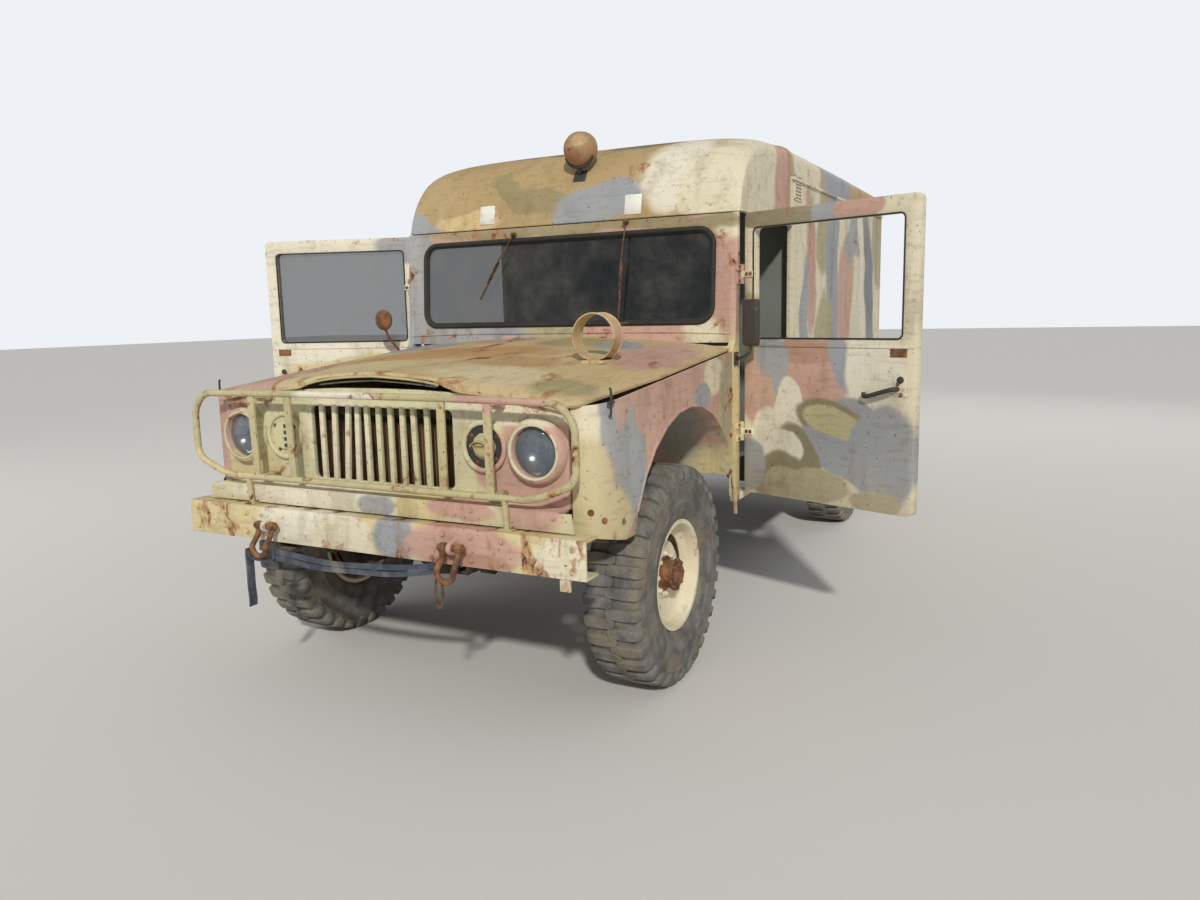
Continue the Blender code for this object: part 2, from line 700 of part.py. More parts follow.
def lamps_and_radiator():
    for side, name in ((1, "headlamp_left"), (-1, "headlamp_right")):
        lamp = (side * HEADLAMP_X, PANEL_Y, HEADLAMP_Z)
        r = HEADLAMP_R - GAP
        bulb = turned(((-0.036, 0.0), (-0.030, r * 0.55), (-0.014, r), (0.012, r), (0.060, r * 0.5),
                       (0.060, 0.0)), "y", lamp, 16)
        node(name, bulb, GLASS, 30)
    half = GRILLE_HALF - 0.015
    core = block(-half, half, 0.180, 0.240, 0.78, 1.175)
    tank = block(-half + 0.02, half - 0.02, 0.170, 0.250, 1.150, 1.205)
    foot = block(-half, half, 0.185, 0.215, RAIL_HIGH - 2 * RAIL_STEEL + GAP, 0.80)
    node("radiator", fused([core, tank, foot]), DARK)


def brush_guard():
    # Bent bar: a closed loop with its lower corners swept up, and four uprights
    low, high = 0.898, 1.238
    half = BODY_HALF - 0.045
    y = GUARD_Y
    loop = [(-half, y, 1.165), (-half, y, 0.965), (-0.735, y, low), (0.735, y, low), (half, y, 0.965),
            (half, y, 1.165), (half - 0.060, y, high - 0.006), (0.40, y, high), (-0.40, y, high),
            (-half + 0.060, y, high - 0.006)]
    parts = [tube(loop, GUARD_BAR, 8, closed=True)]
    for x in (-0.565, -0.365, 0.365, 0.565):
        parts.append(block(x - 0.016, x + 0.016, y - 0.008, y + 0.008, low, high))
    for x in (-0.565, 0.565):
        for z in (low + 0.004, high - 0.030):
            parts.append(block(x - 0.014, x + 0.014, y, PANEL_Y - GAP, z - 0.006, z + 0.006))
    for side in (-1, 1):
        parts.append(tube([(side * 0.62, y, low), (side * 0.62, y + 0.008, 0.80),
                           (side * 0.62, y + 0.008, BUMPER_HIGH + GAP)], 0.011, 6))
    node("brush_guard", fused(parts), KHAKI, 40)


def engine_and_driveline():
    outline = ((-ENGINE_HALF, ENGINE_WAIST), (-0.15, ENGINE_LOW), (0.15, ENGINE_LOW),
               (ENGINE_HALF, ENGINE_WAIST), (ENGINE_HALF, ENGINE_HIGH - 0.10),
               (0.12, ENGINE_HIGH), (-0.12, ENGINE_HIGH), (-ENGINE_HALF, ENGINE_HIGH - 0.10))
    node("engine_block", prism(outline, "y", ENGINE_Y0, ENGINE_Y1), DARK)
    # Gearbox, transfer case and both drive shafts, hung between the engine and a crossmember
    rings = []
    for y, half, low, high in ((ENGINE_Y1 + GAP, 0.19, GEARBOX_LOW, 0.95),
                               (1.36, 0.14, GEARBOX_LOW, 0.86), (1.42, 0.11, GEARBOX_LOW, GEARBOX_HIGH),
                               (CASE_START_Y + 0.05, 0.09, GEARBOX_LOW + 0.02, GEARBOX_HIGH - 0.02)):
        rings.append([(a, y, b) for a, b in rounded(-half, half, low, high, 0.03, 2)])
    case_x = FRONT_DIFF_X
    case_end = CROSS_STATIONS[1] - GAP
    case = prism(rounded(case_x - 0.08, 0.09, GEARBOX_LOW - 0.08, GEARBOX_HIGH - 0.01, 0.05, 2),
                 "y", CASE_START_Y, case_end)
    front_nose = FRONT_AXLE_Y + PINION_REACH + GAP
    rear_nose = REAR_AXLE_Y - PINION_REACH - GAP
    out_z = GEARBOX_LOW - 0.03
    front = tube([(case_x, CASE_START_Y + 0.04, out_z), (case_x, 1.72, out_z - 0.01),
                  (case_x, front_nose + 0.06, AXLE_Z), (case_x, front_nose, AXLE_Z)], SHAFT_R, 10)
    rear = tube([(0.0, case_end - 0.04, out_z - 0.03), (0.0, case_end + 0.08, out_z - 0.03),
                 (0.0, rear_nose - 0.06, AXLE_Z), (0.0, rear_nose, AXLE_Z)], SHAFT_R, 10)
    node("gearbox_and_drive_shafts", fused([loft(rings), case, front, rear]), DARK)


def exhaust_and_tank():
    x = -0.335
    route = [(-ENGINE_HALF - GAP, 0.86, 0.92), (-ENGINE_HALF - 0.02, 0.86, 0.92), (x + 0.01, 0.88, 0.91),
             (x, 0.95, 0.86), (x, 1.32, 0.62), (x, 1.50, 0.57), (-0.40, 1.70, 0.55), (-0.54, 2.00, 0.53),
             (-0.56, 2.20, 0.53), (-0.56, 2.60, 0.53), (-0.58, 3.30, 0.58), (-0.58, 3.70, 0.62),
             (-0.58, 4.30, 0.62), (-0.58, 4.70, 0.57), (-0.58, 4.98, 0.555)]
    pipe = tube(route, 0.025, 6)
    muffler = turned(((0.0, 0.0), (0.0, 0.05), (0.03, 0.072), (0.55, 0.072), (0.58, 0.05), (0.58, 0.0)),
                     "y", (-0.56, 2.10, 0.53), 12)
    hanger = block(-0.57, -RAIL_X - GAP, 2.36, 2.39, 0.60, 0.63)
    strap = block(-0.57, -0.545, 2.36, 2.39, 0.58, 0.63)
    node("exhaust", fused([pipe, muffler, hanger, strap]), RUST, 40)
    wall_x = BODY_HALF - BODY_WALL - GAP
    tank_x = wall_x - 0.06
    tank = prism(rounded(RAIL_X + GAP, tank_x, 0.48, 0.735, 0.045, 3), "y", 2.74, 3.34)
    neck = tube([(tank_x - 0.04, 2.95, 0.68), (tank_x, 2.95, 0.69), (wall_x, 2.95, 0.69)], 0.022, 8)
    node("fuel_tank", fused([tank, neck]), DARK)


def leaf_spring(x, axle_y):
    # A pack of leaves, thick at the axle and thin at the eyes
    upper, lower = [], []
    steps = 6
    for i in range(steps + 1):
        share = 2 * i / steps - 1
        y = axle_y + share * SPRING_REACH
        z = SPRING_SEAT_Z + (SPRING_EYE_Z - SPRING_SEAT_Z) * share * share
        thick = SPRING_THICK * (1 - 0.62 * abs(share))
        upper.append((y, z + thick / 2))
        lower.append((y, z - thick / 2))
    half = SPRING_WIDTH / 2
    pieces = [prism(upper + lower[::-1], "x", x - half, x + half)]
    for end in (-1, 1):
        eye = (x, axle_y + end * SPRING_REACH, SPRING_EYE_Z)
        pieces.append(rod("x", eye, SPRING_EYE_R, -half, half, 8))
    pieces.append(block(x - half - 0.008, x + half + 0.008, axle_y - 0.05, axle_y + 0.05,
                        AXLE_Z - AXLE_R - 0.012, SPRING_SEAT_Z + SPRING_THICK / 2 + 0.010))
    return pieces


def spindle(side):
    # Stub that carries the wheel, with the brake's backing plate, from the kingpin outward
    plate_x = WHEEL_X + DRUM_EDGE_X - RUN
    low, high = sorted((0.0, side * (WHEEL_X + SPINDLE_END_X - GAP - KINGPIN_X)))
    stub = rod("x", (side * KINGPIN_X, 0.0, AXLE_Z), SPINDLE_R, low, high, RIM_SIDES)
    near, far = sorted((side * (plate_x - 0.007 - KINGPIN_X), side * (plate_x - KINGPIN_X)))
    plate = rod("x", (side * KINGPIN_X, 0.0, AXLE_Z), 0.150, near, far, RIM_SIDES)
    return [stub, plate]


def axles():
    front = [rod("x", (0.0, FRONT_AXLE_Y, AXLE_Z), AXLE_R, -0.63, 0.63, 10)]
    arm_x0, arm_x1, depth = 0.615, KINGPIN_X + 0.038, 0.040
    for side in (-1, 1):
        x0, x1 = sorted((side * arm_x0, side * (arm_x0 + 0.035)))
        low, high = AXLE_Z - YOKE_HALF - 0.025, AXLE_Z + YOKE_HALF + 0.025
        front.append(block(x0, x1, FRONT_AXLE_Y - depth, FRONT_AXLE_Y + depth, low, high))
        x0, x1 = sorted((side * arm_x0, side * arm_x1))
        for z0, z1 in ((low, AXLE_Z - YOKE_HALF), (AXLE_Z + YOKE_HALF, high)):
            front.append(block(x0, x1, FRONT_AXLE_Y - depth, FRONT_AXLE_Y + depth, z0, z1))
        front += leaf_spring(side * SPRING_X, FRONT_AXLE_Y)
    front += differential(FRONT_DIFF_X, FRONT_AXLE_Y, 1)
    node("front_axle", fused(front), DARK)
    plate_x = WHEEL_X + DRUM_EDGE_X - RUN
    rear = [rod("x", (0.0, REAR_AXLE_Y, AXLE_Z), AXLE_R, -plate_x + 0.003, plate_x - 0.003, 10)]
    for side in (-1, 1):
        for piece in spindle(side):
            rear.append(moved(piece, Matrix.Translation((0.0, REAR_AXLE_Y, 0.0))))
        rear += leaf_spring(side * SPRING_X, REAR_AXLE_Y)
    rear += differential(0.0, REAR_AXLE_Y, -1)
    node("rear_axle", fused(rear), DARK)


def differential(x, y, nose):
    # Round housing with a pinion nose that meets the drive shaft
    bowl = turned(((-0.11, 0.0), (-0.11, 0.05), (-0.08, 0.10), (-0.03, DIFF_R), (0.03, DIFF_R),
                   (0.08, 0.10), (0.11, 0.05), (0.11, 0.0)), "x", (x, y, AXLE_Z), 12)
    low, high = sorted((0.0, nose * PINION_REACH))
    return [bowl, rod("y", (x, y, AXLE_Z), 0.040, low, high, 8)]


def steering():
    arm_z = AXLE_Z - 0.052
    for side, name in ((1, "knuckle_left"), (-1, "knuckle_right")):
        x = side * KINGPIN_X
        barrel = rod("z", (x, 0.0, AXLE_Z), 0.035, -YOKE_HALF + GAP, YOKE_HALF - GAP, 16)
        arm = block(x - 0.015, x + 0.015, 0.0, STEER_ARM, arm_z, arm_z + 0.030)
        eye = rod("z", (x, STEER_ARM, arm_z), 0.022, 0.0, 0.030, 12)
        made = fused([barrel, arm, eye] + spindle(side))
        hung(node(name, made, DARK), (x, 0.0, AXLE_Z), (x, FRONT_AXLE_Y, AXLE_Z))
    y = FRONT_AXLE_Y + STEER_ARM
    bar = rod("x", (0.0, y, TIE_ROD_Z), TIE_ROD_R, -KINGPIN_X, KINGPIN_X, 10)
    ends = [rod("z", (side * KINGPIN_X, y, TIE_ROD_Z), 0.022, -0.018, arm_z - GAP - TIE_ROD_Z, 12)
            for side in (-1, 1)]
    hung(node("tie_rod", fused([bar] + ends), DARK), (KINGPIN_X, y, TIE_ROD_Z), (KINGPIN_X, y, TIE_ROD_Z))


def hung(made, pivot, place, turn=0.0):
    # Puts the object's origin on its joint's axis
    made.data.transform(Matrix.Translation(-Vector(pivot)))
    made.location = place
    made.rotation_euler.z = turn
    return made


def tyre_mesh():
    # Three stations to a lug: two on its top and one in the V groove; rows are (x, radius, depth)
    fine = LUGS * 3
    coarse_rows = ((-BEAD_HALF, BEAD_R), (-BEAD_HALF, FLANGE_R + 0.002), (-TYRE_HALF, 0.335),
                   (-TYRE_HALF + 0.004, SIDE_R))
    tread = ((-SHOULDER_X, TYRE_R - 0.005, LUG_DEPTH), (-RIB_HALF, TYRE_R, 0.004),
             (RIB_HALF, TYRE_R, 0.004), (SHOULDER_X, TYRE_R - 0.005, LUG_DEPTH))
    bm = bmesh.new()

    def ring(x, radii, count):
        verts = []
        for k in range(count):
            angle = 2 * pi * k / count - pi / 2
            radius = radii[k % len(radii)]
            verts.append(bm.verts.new((x, radius * cos(angle), radius * sin(angle))))
        return verts

    left = [ring(x, (r,), LUGS) for x, r in coarse_rows]
    right = [ring(-x, (r,), LUGS) for x, r in coarse_rows]
    tops = [ring(x, (r, r, r - depth), fine) for x, r, depth in tread]
    for rows in (list(zip(left, left[1:])), list(zip(right, right[1:])), [(left[0], right[0])],
                 list(zip(tops, tops[1:]))):
        for near, far in rows:
            count = len(near)
            for k in range(count):
                bm.faces.new((near[k], near[(k + 1) % count], far[(k + 1) % count], far[k]))
    for low, high in ((left[-1], tops[0]), (right[-1], tops[-1])):
        for k in range(LUGS):
            edge = [high[(3 * k + j) % fine] for j in (3, 2, 1, 0)]
            bm.faces.new([low[k], low[(k + 1) % LUGS]] + edge)
    bmesh.ops.triangulate(bm, faces=[f for f in bm.faces if len(f.verts) > 4])
    made = solid(bm)
    mesh = made.data
    bpy.data.objects.remove(made)
    return mesh


def rim_mesh():
    # Barrel, flanges, dished disc, brake drum and hub in one turned profile
    barrel = BEAD_R * cos(pi / LUGS) - GAP
    inner = barrel - RIM_WALL
    flange = BEAD_HALF + 0.0005
    edge = flange + FLANGE_T
    bore = (SPINDLE_R + GAP) / cos(pi / RIM_SIDES)
    drum = DRUM_R - 0.012
    profile = (
        (-edge, FLANGE_R), (-flange, FLANGE_R), (-flange, barrel), (flange, barrel),
        (flange, FLANGE_R), (edge, FLANGE_R), (edge, inner), (DISC_X + 0.006, inner),
        (DISC_X - 0.012, 0.150), (DISC_X - 0.022, 0.095), (DISC_X - 0.016, HUB_R + 0.010),
        (HUB_FACE_X - 0.020, HUB_R), (HUB_FACE_X, HUB_R * 0.72), (HUB_FACE_X, 0.0),
        (SPINDLE_END_X, 0.0), (SPINDLE_END_X, bore), (-0.050, bore), (-0.050, HUB_R),
        (-0.012, HUB_R), (-0.012, drum), (DRUM_EDGE_X, drum), (DRUM_EDGE_X, DRUM_R),
        (DISC_X - 0.030, DRUM_R), (DISC_X - 0.006, inner), (-edge, inner),
    )
    made = turned(profile, "x", (0.0, 0.0, 0.0), RIM_SIDES)
    mesh = made.data
    bpy.data.objects.remove(made)
    return mesh


def wheels():
    tyre, rim = tyre_mesh(), rim_mesh()
    for mesh, material in ((tyre, RUBBER), (rim, CREAM)):
        mesh.materials.append(material)
        mesh.shade_smooth()
        mesh.set_sharp_from_angle(angle=radians(35))
    for end, axle_y in (("front", FRONT_AXLE_Y), ("rear", REAR_AXLE_Y)):
        for side, flank in ((1, "left"), (-1, "right")):
            for kind, mesh in (("tyre", tyre), ("rim", rim)):
                made = bpy.data.objects.new(f"{kind}_{end}_{flank}", mesh)
                bpy.context.scene.collection.objects.link(made)
                made.parent = truck
                made.location = (side * WHEEL_X, axle_y, AXLE_Z)
                made.rotation_euler.z = 0.0 if side > 0 else pi


def tilted(made):
    # From the upright plane to the windscreen's rake, standing on its foot
    turn = Matrix.Rotation(-SCREEN_RAKE, 4, "X")
    return moved(made, Matrix.Translation((0.0, SCREEN_FOOT_Y, FRAME_LOW)) @ turn)


def cab_front():
    # Firewall, cowl, windscreen frame and the front pillars with their hinge leaves
    half = BODY_HALF - 0.012
    firewall = block(-half, half, COWL_Y, COWL_Y + SHEET, TOE_Z, 1.36)
    toe_end = FLOOR_START_Y - GAP
    toe_board = prism([(COWL_Y, TOE_Z), (toe_end, FLOOR_Z + 0.002), (toe_end, FLOOR_Z + FLOOR_T),
                       (COWL_Y + SHEET, TOE_Z + 0.018)], "x", -half + 0.02, half - 0.02)
    top, below = [], []
    for i in range(13):
        x = half - 2 * half * i / 12
        z = hood_top(x, HOOD_REAR_Y)
        top.append((x, z - 0.003))
        below.append((x, z - 0.030))
    cowl = prism(top + below[::-1], "y", COWL_Y, SCREEN_FOOT_Y + SCREEN_FRAME_T * 0.6)
    frame = tilted(prism([(-half, 0.0), (half, 0.0), (half, FRAME_HIGH - FRAME_LOW),
                          (-half, FRAME_HIGH - FRAME_LOW)], "y", 0.0, SCREEN_FRAME_T))
    hole = tilted(prism(rounded(-SCREEN_HALF, SCREEN_HALF, SCREEN_LOW - FRAME_LOW,
                                SCREEN_HIGH - FRAME_LOW, SCREEN_RADIUS, 4), "y", -0.1, 0.2))
    pillar_end = PILLAR_END
    pillars = []
    outline = ((COWL_Y, SILL_Z), (pillar_end, SILL_Z), (pillar_end, FRAME_HIGH),
               (1.538, FRAME_HIGH), (SCREEN_FOOT_Y, 1.385), (COWL_Y, 1.335))
    for side in (-1, 1):
        low, high = sorted((side * (BODY_HALF - BODY_WALL), side * BODY_HALF))
        pillars.append(prism(outline, "x", low, high))
        for z in HINGE_HEIGHTS:
            for end in (-1, 1):
                z0, z1 = sorted((z + end * HINGE_HALF, z + end * (HINGE_HALF / 3 + GAP)))
                axis = (side * DOOR_AXIS_X, DOOR_AXIS_Y, 0.0)
                pillars.append(rod("z", axis, HINGE_R, z0, z1, 10))
                near, far = sorted((side * (BODY_HALF - 0.004), side * DOOR_AXIS_X))
                pillars.append(block(near, far, pillar_end - 0.045, DOOR_AXIS_Y, z0, z1))
    for side in (-1, 1):
        for end in (-1, 1):
            near = side * HOOD_HINGE_X + end * (0.030 + GAP)
            low, high = sorted((near, near + end * 0.020))
            pillars.append(rod("x", (0.0, hood_axis_y(), HOOD_HINGE_Z), HOOD_HINGE_R, low, high, 10))
            pillars.append(block(low, high, hood_axis_y(), COWL_Y + 0.012,
                                 HOOD_HINGE_Z - 0.016, HOOD_HINGE_Z - 0.001))
    wheel_arch = prism(arch_outline(SHEET + GAP), "x", -1.2, 1.2)
    node("cab_front", fused([frame, cowl, firewall, toe_board] + pillars, [hole, wheel_arch]), PINK)
    inset = GAP
    glass = tilted(prism(rounded(-SCREEN_HALF + inset, SCREEN_HALF - inset,
                                 SCREEN_LOW - FRAME_LOW + inset, SCREEN_HIGH - FRAME_LOW - inset,
                                 SCREEN_RADIUS - inset, 4), "y", 0.012, 0.012 + GLASS_T))
    node("windscreen_glass", glass, GLASS)


def body_floor():
    # Floor on its cross bolsters, cut for the doors' edges and the rear wheels; a tread sheet in the aisle
    half = BODY_HALF - BODY_WALL - GAP
    start = FLOOR_START_Y
    end = BODY_END_Y - BODY_WALL - GAP
    parts = [block(-half, half, start, end, FLOOR_Z, FLOOR_Z + FLOOR_T)]
    for y in (1.62, 2.30, 3.05, 4.20, 4.80):
        parts.append(block(-0.62, 0.62, y, y + 0.07, RAIL_HIGH + GAP, FLOOR_Z + 0.01))
    top = FLOOR_Z + FLOOR_T
    parts.append(block(-AISLE_HALF, AISLE_HALF, PARTITION_Y + 0.06, end - 0.06, top - 0.002, top + AISLE_T))
    cuts = []
    for side in (-1, 1):
        lo, hi = sorted((side * DOORWAY_HALF, side * (half + 0.1)))
        cuts.append(block(lo, hi, PILLAR_END, DOOR_POST + RUN, FLOOR_Z - 0.1, FLOOR_Z + 0.1))
        lo, hi = sorted((side * (WHEEL_X - TYRE_HALF - 0.06), side * (half + 0.1)))
        cuts.append(block(lo, hi, REAR_AXLE_Y - WHEEL_CUT_HALF, REAR_AXLE_Y + WHEEL_CUT_HALF,
                          FLOOR_Z - 0.1, FLOOR_Z + 0.1))
    node("body_floor", fused(parts, cuts), GREY)


def benches():
    # Locker benches with a lid and four walls, standing on the floor over the rear wheels
    half = BODY_HALF - BODY_WALL - GAP
    end = REAR_FACE_Y - REAR_DOOR_T - RUN
    low = FLOOR_Z + FLOOR_T + GAP
    wall = BENCH_WALL
    box = block(BENCH_X, half, BENCH_START_Y, end, low, BENCH_Z)
    lid = block(BENCH_X - BENCH_NOSE, half, BENCH_START_Y, end, BENCH_Z - wall, BENCH_Z)
    room = block(BENCH_X + wall, half - wall, BENCH_START_Y + wall, end - wall, low - 0.1, BENCH_Z - wall)
    wheel = block(half - 2 * wall, half + 0.1, REAR_AXLE_Y - WHEEL_CUT_HALF, REAR_AXLE_Y + WHEEL_CUT_HALF,
                  low - 0.1, WHEEL_CUT_HIGH)
    both_sides("bench", fused([box, lid], [room, wheel]), GREY)


def body_sides():
    door_top = DOOR_HIGH + RUN
    sill = DOOR_LOW - RUN
    post = DOOR_POST
    front_y = PILLAR_END + GAP
    outline = [(HEM_STEP_Y + GAP, door_top), (HEM_STEP_Y + GAP, HEM_LOW - GAP),
               (HEM_STEP_Y + 0.014, HEM_HIGH - GAP), (BODY_END_Y, HEM_HIGH - GAP), (BODY_END_Y, SILL_Z)]
    for i in range(11):
        t = pi * i / 10
        outline.append((REAR_AXLE_Y + WHEEL_CUT_HALF * cos(t), SILL_Z + 0.36 * sin(t)))
    outline += [(front_y, SILL_Z), (front_y, sill), (post, sill), (post, door_top)]
    wall = prism(outline, "x", BODY_HALF - BODY_WALL, BODY_HALF)
    rail = block(BODY_HALF - 0.01, BODY_HALF + 0.012, HEM_STEP_Y + 0.03, BODY_END_Y - 0.02,
                 HEM_HIGH - 0.016, HEM_HIGH - 0.003)
    both_sides("body_side", fused([wall, rail]), CREAM)


def roof_row(row, inset=0.0):
    y, hem_z, side_z, crown_z, power = row
    points = [(ROOF_HALF - inset, y, hem_z)]
    for i in range(ROOF_COLUMNS + 1):
        t = pi / 2 - pi * i / ROOF_COLUMNS
        across = abs(sin(t)) ** (2 / power) * (1 if t > 0 else -1)
        rise = max(0.0, cos(t)) ** (2 / power)
        points.append(((ROOF_HALF - inset) * across, y, side_z + (crown_z - side_z - inset) * rise))
    points.append((-ROOF_HALF + inset, y, hem_z))
    return points


def roof():
    node("roof", sheet([roof_row(row)[::-1] for row in ROOF_ROWS], ROOF_SHEET, even=False), CREAM, 40)


def crown_height(y):
    # Height of the roof's centre line at a station
    for near, far in zip(ROOF_ROWS, ROOF_ROWS[1:]):
        if near[0] <= y <= far[0]:
            return near[3] + (far[3] - near[3]) * (y - near[0]) / (far[0] - near[0])
    return ROOF_ROWS[-1][3]


def body_ends():
    # Partition behind the seats and the frame of the rear doorway
    half = BODY_HALF - BODY_WALL - GAP
    inner = [(x, z) for x, _, z in roof_row(ROOF_ROWS[-1], ROOF_SHEET + 0.010)]
    inner = [(x, z) for x, z in inner[1:-1] if abs(x) < half]
    outline = [(half, SILL_Z)] + inner + [(-half, SILL_Z)]
    frame = prism(outline, "y", BODY_END_Y - BODY_WALL, REAR_FACE_Y)
    notch = block(-0.53, 0.53, 4.9, 5.2, SILL_Z - 0.1, RAIL_HIGH + RUN)
    doorway = prism(((-REAR_OPEN_HALF, REAR_OPEN_LOW), (REAR_OPEN_HALF, REAR_OPEN_LOW),
                     (REAR_OPEN_HALF, REAR_OPEN_HIGH), (-REAR_OPEN_HALF, REAR_OPEN_HIGH)), "y", 4.9, 5.2)
    node("rear_frame", fused([frame], [doorway, notch]), CREAM)
    low = FLOOR_Z + FLOOR_T + GAP
    outline = [(half, low)] + inner + [(-half, low)]
    wall = prism(outline, "y", PARTITION_Y, PARTITION_Y + 0.025)
    way = block(-0.30, 0.30, PARTITION_Y - 0.1, PARTITION_Y + 0.1, low - 0.1, 1.98)
    node("partition", fused([wall], [way]), GREY)


def seats():
    low = FLOOR_Z + FLOOR_T + GAP
    for side, name in ((1, "driver_seat"), (-1, "passenger_seat")):
        x = side * SEAT_X
        base = block(x - 0.20, x + 0.20, 2.10, 2.44, low, 1.06)
        cushion = prism(rounded(2.05, 2.50, 1.05, 1.165, 0.03, 2), "x", x - 0.24, x + 0.24)
        back = prism([(2.43, 1.10), (2.52, 1.10), (2.553, 1.62), (2.49, 1.62)], "x", x - 0.23, x + 0.23)
        node(name, fused([base, cushion, back]), CANVAS)


def dash_and_steering():
    dash = prism(((1.560, 1.23), (1.62, 1.22), (1.67, 1.25), (1.67, 1.35), (1.62, 1.385),
                  (1.560, 1.385)), "x", -DOORWAY_HALF, DOORWAY_HALF)
    heading = (WHEEL_HUB - COLUMN_FOOT).normalized()
    column = tube([COLUMN_FOOT, WHEEL_HUB - heading * 0.045], 0.022, 8)
    brackets = [block(SEAT_X - 0.04, SEAT_X + 0.04, 1.60, 1.65, 1.12, 1.24)]
    for x in (-0.60, 0.0, 0.60):
        brackets.append(block(x - 0.03, x + 0.03, COWL_Y + SHEET + GAP, 1.57, 1.245, 1.285))
    node("dashboard", fused([dash, column] + brackets), GREY)
    ring = [(STEER_RING_R * cos(2 * pi * k / 20), STEER_RING_R * sin(2 * pi * k / 20), 0.0) for k in range(20)]
    parts = [tube(ring, 0.012, 6, closed=True)]
    for k in range(3):
        angle = 2 * pi * k / 3 + pi / 2
        parts.append(tube([(0.0, 0.0, -0.01), (STEER_RING_R * cos(angle), STEER_RING_R * sin(angle), 0.0)],
                          0.009, 6))
    parts.append(rod("z", (0.0, 0.0, 0.0), 0.035, -0.045 + GAP * 2, 0.012, 12))
    wheel = node("steering_wheel", fused(parts), DARK)
    wheel.location = WHEEL_HUB
    wheel.rotation_euler = Vector((0.0, 0.0, 1.0)).rotation_difference(heading).to_euler()


def cab_doors():
    axis_x, axis_y = DOOR_AXIS_X, DOOR_AXIS_Y
    front = axis_y + DOOR_START
    rear = front + DOOR_LENGTH
    outer, inner = BODY_HALF, BODY_HALF - DOOR_T
    panel = prism(rounded(front, rear, DOOR_LOW, DOOR_HIGH, 0.022, 2), "x", inner, outer)
    window = prism(rounded(front + DOOR_UPRIGHT * 0.8, rear - DOOR_UPRIGHT, DOOR_BELT,
                           DOOR_HIGH - DOOR_TOP_RAIL, 0.02, 2), "x", inner - 0.1, outer + 0.1)
    parts = [panel]
    for z in HINGE_HEIGHTS:
        half = HINGE_HALF / 3 - GAP
        parts.append(rod("z", (axis_x, axis_y, z), HINGE_R, -half, half, 10))
        parts.append(block(outer - 0.004, axis_x, axis_y, front + 0.05, z - half, z + half))
    # Bent pull handle on its lock plate, low end toward the hinge
    parts.append(block(outer - 0.002, outer + 0.003, HANDLE_Y - 0.022, HANDLE_Y + 0.034,
                       HANDLE_Z - 0.030, HANDLE_Z + 0.055))
    out = outer + HANDLE_REACH
    parts.append(tube([(outer - 0.002, HANDLE_Y, HANDLE_Z), (out - 0.010, HANDLE_Y - 0.008, HANDLE_Z),
                       (out, HANDLE_Y - 0.040, HANDLE_Z - 0.008), (out, HANDLE_Y - 0.105, HANDLE_Z - 0.028),
                       (out - 0.008, HANDLE_Y - 0.140, HANDLE_Z - 0.034),
                       (out - 0.014, HANDLE_Y - 0.148, HANDLE_Z - 0.020)], 0.0085, 8))
    left = fused(parts, [window])
    right = mirrored(left)
    glass = prism(rounded(front + DOOR_UPRIGHT * 0.8 + GAP, rear - DOOR_UPRIGHT - GAP, DOOR_BELT + GAP,
                          DOOR_HIGH - DOOR_TOP_RAIL - GAP, 0.02 - GAP, 2), "x", -inner - 0.026, -inner - 0.020)
    for side, name, made in ((1, "cab_door_left", left), (-1, "cab_door_right", right),
                             (-1, "cab_door_right_glass", glass)):
        pivot = (side * axis_x, axis_y, 0.0)
        hung(node(name, made, GLASS if "glass" in name else CREAM), pivot, pivot, -side * DOOR_OPEN)


def rear_doors():
    axis_x, axis_y = REAR_OPEN_HALF + 0.004, BODY_END_Y + 0.010
    outer = REAR_FACE_Y
    inner = outer - REAR_DOOR_T
    window = (0.13, 0.47, 1.42, 1.86)
    panel = block(0.005, REAR_OPEN_HALF - RUN, inner, outer, REAR_OPEN_LOW + RUN, REAR_OPEN_HIGH - RUN)
    hole = prism(rounded(*window, 0.03, 2), "y", inner - 0.1, outer + 0.1)
    parts = [panel]
    for z in (1.02, 1.47, 1.92):
        parts.append(rod("z", (axis_x, axis_y, z), 0.009, -0.05, 0.05, 8))
        leaf_x = REAR_OPEN_HALF - 0.05
        parts.append(block(leaf_x, REAR_OPEN_HALF - RUN, outer - 0.004, axis_y, z - 0.05, z + 0.05))
        parts.append(block(leaf_x, axis_x, outer + GAP, axis_y, z - 0.05, z + 0.05))
    door = fused(parts, [hole])
    lever = tube([(0.055, outer - 0.002, 1.20), (0.055, outer + 0.026, 1.20), (0.055, outer + 0.032, 1.09)],
                 0.008, 8)
    plate = block(0.030, 0.080, outer - 0.002, outer + 0.004, 1.16, 1.24)
    twin = mirrored(door)
    left = fused([door, plate, lever])
    x0, x1, z0, z1 = window
    glass = prism(rounded(x0 + GAP, x1 - GAP, z0 + GAP, z1 - GAP, 0.03 - GAP, 2), "y",
                  inner + 0.015, inner + 0.021)
    pieces = ((1, "rear_door_left", left, CREAM), (-1, "rear_door_right", twin, CREAM),
              (1, "rear_door_left_glass", glass, GLASS), (-1, "rear_door_right_glass", mirrored(glass), GLASS))
    for side, name, made, material in pieces:
        pivot = (side * axis_x, axis_y, 0.0)
        hung(node(name, made, material), pivot, pivot)


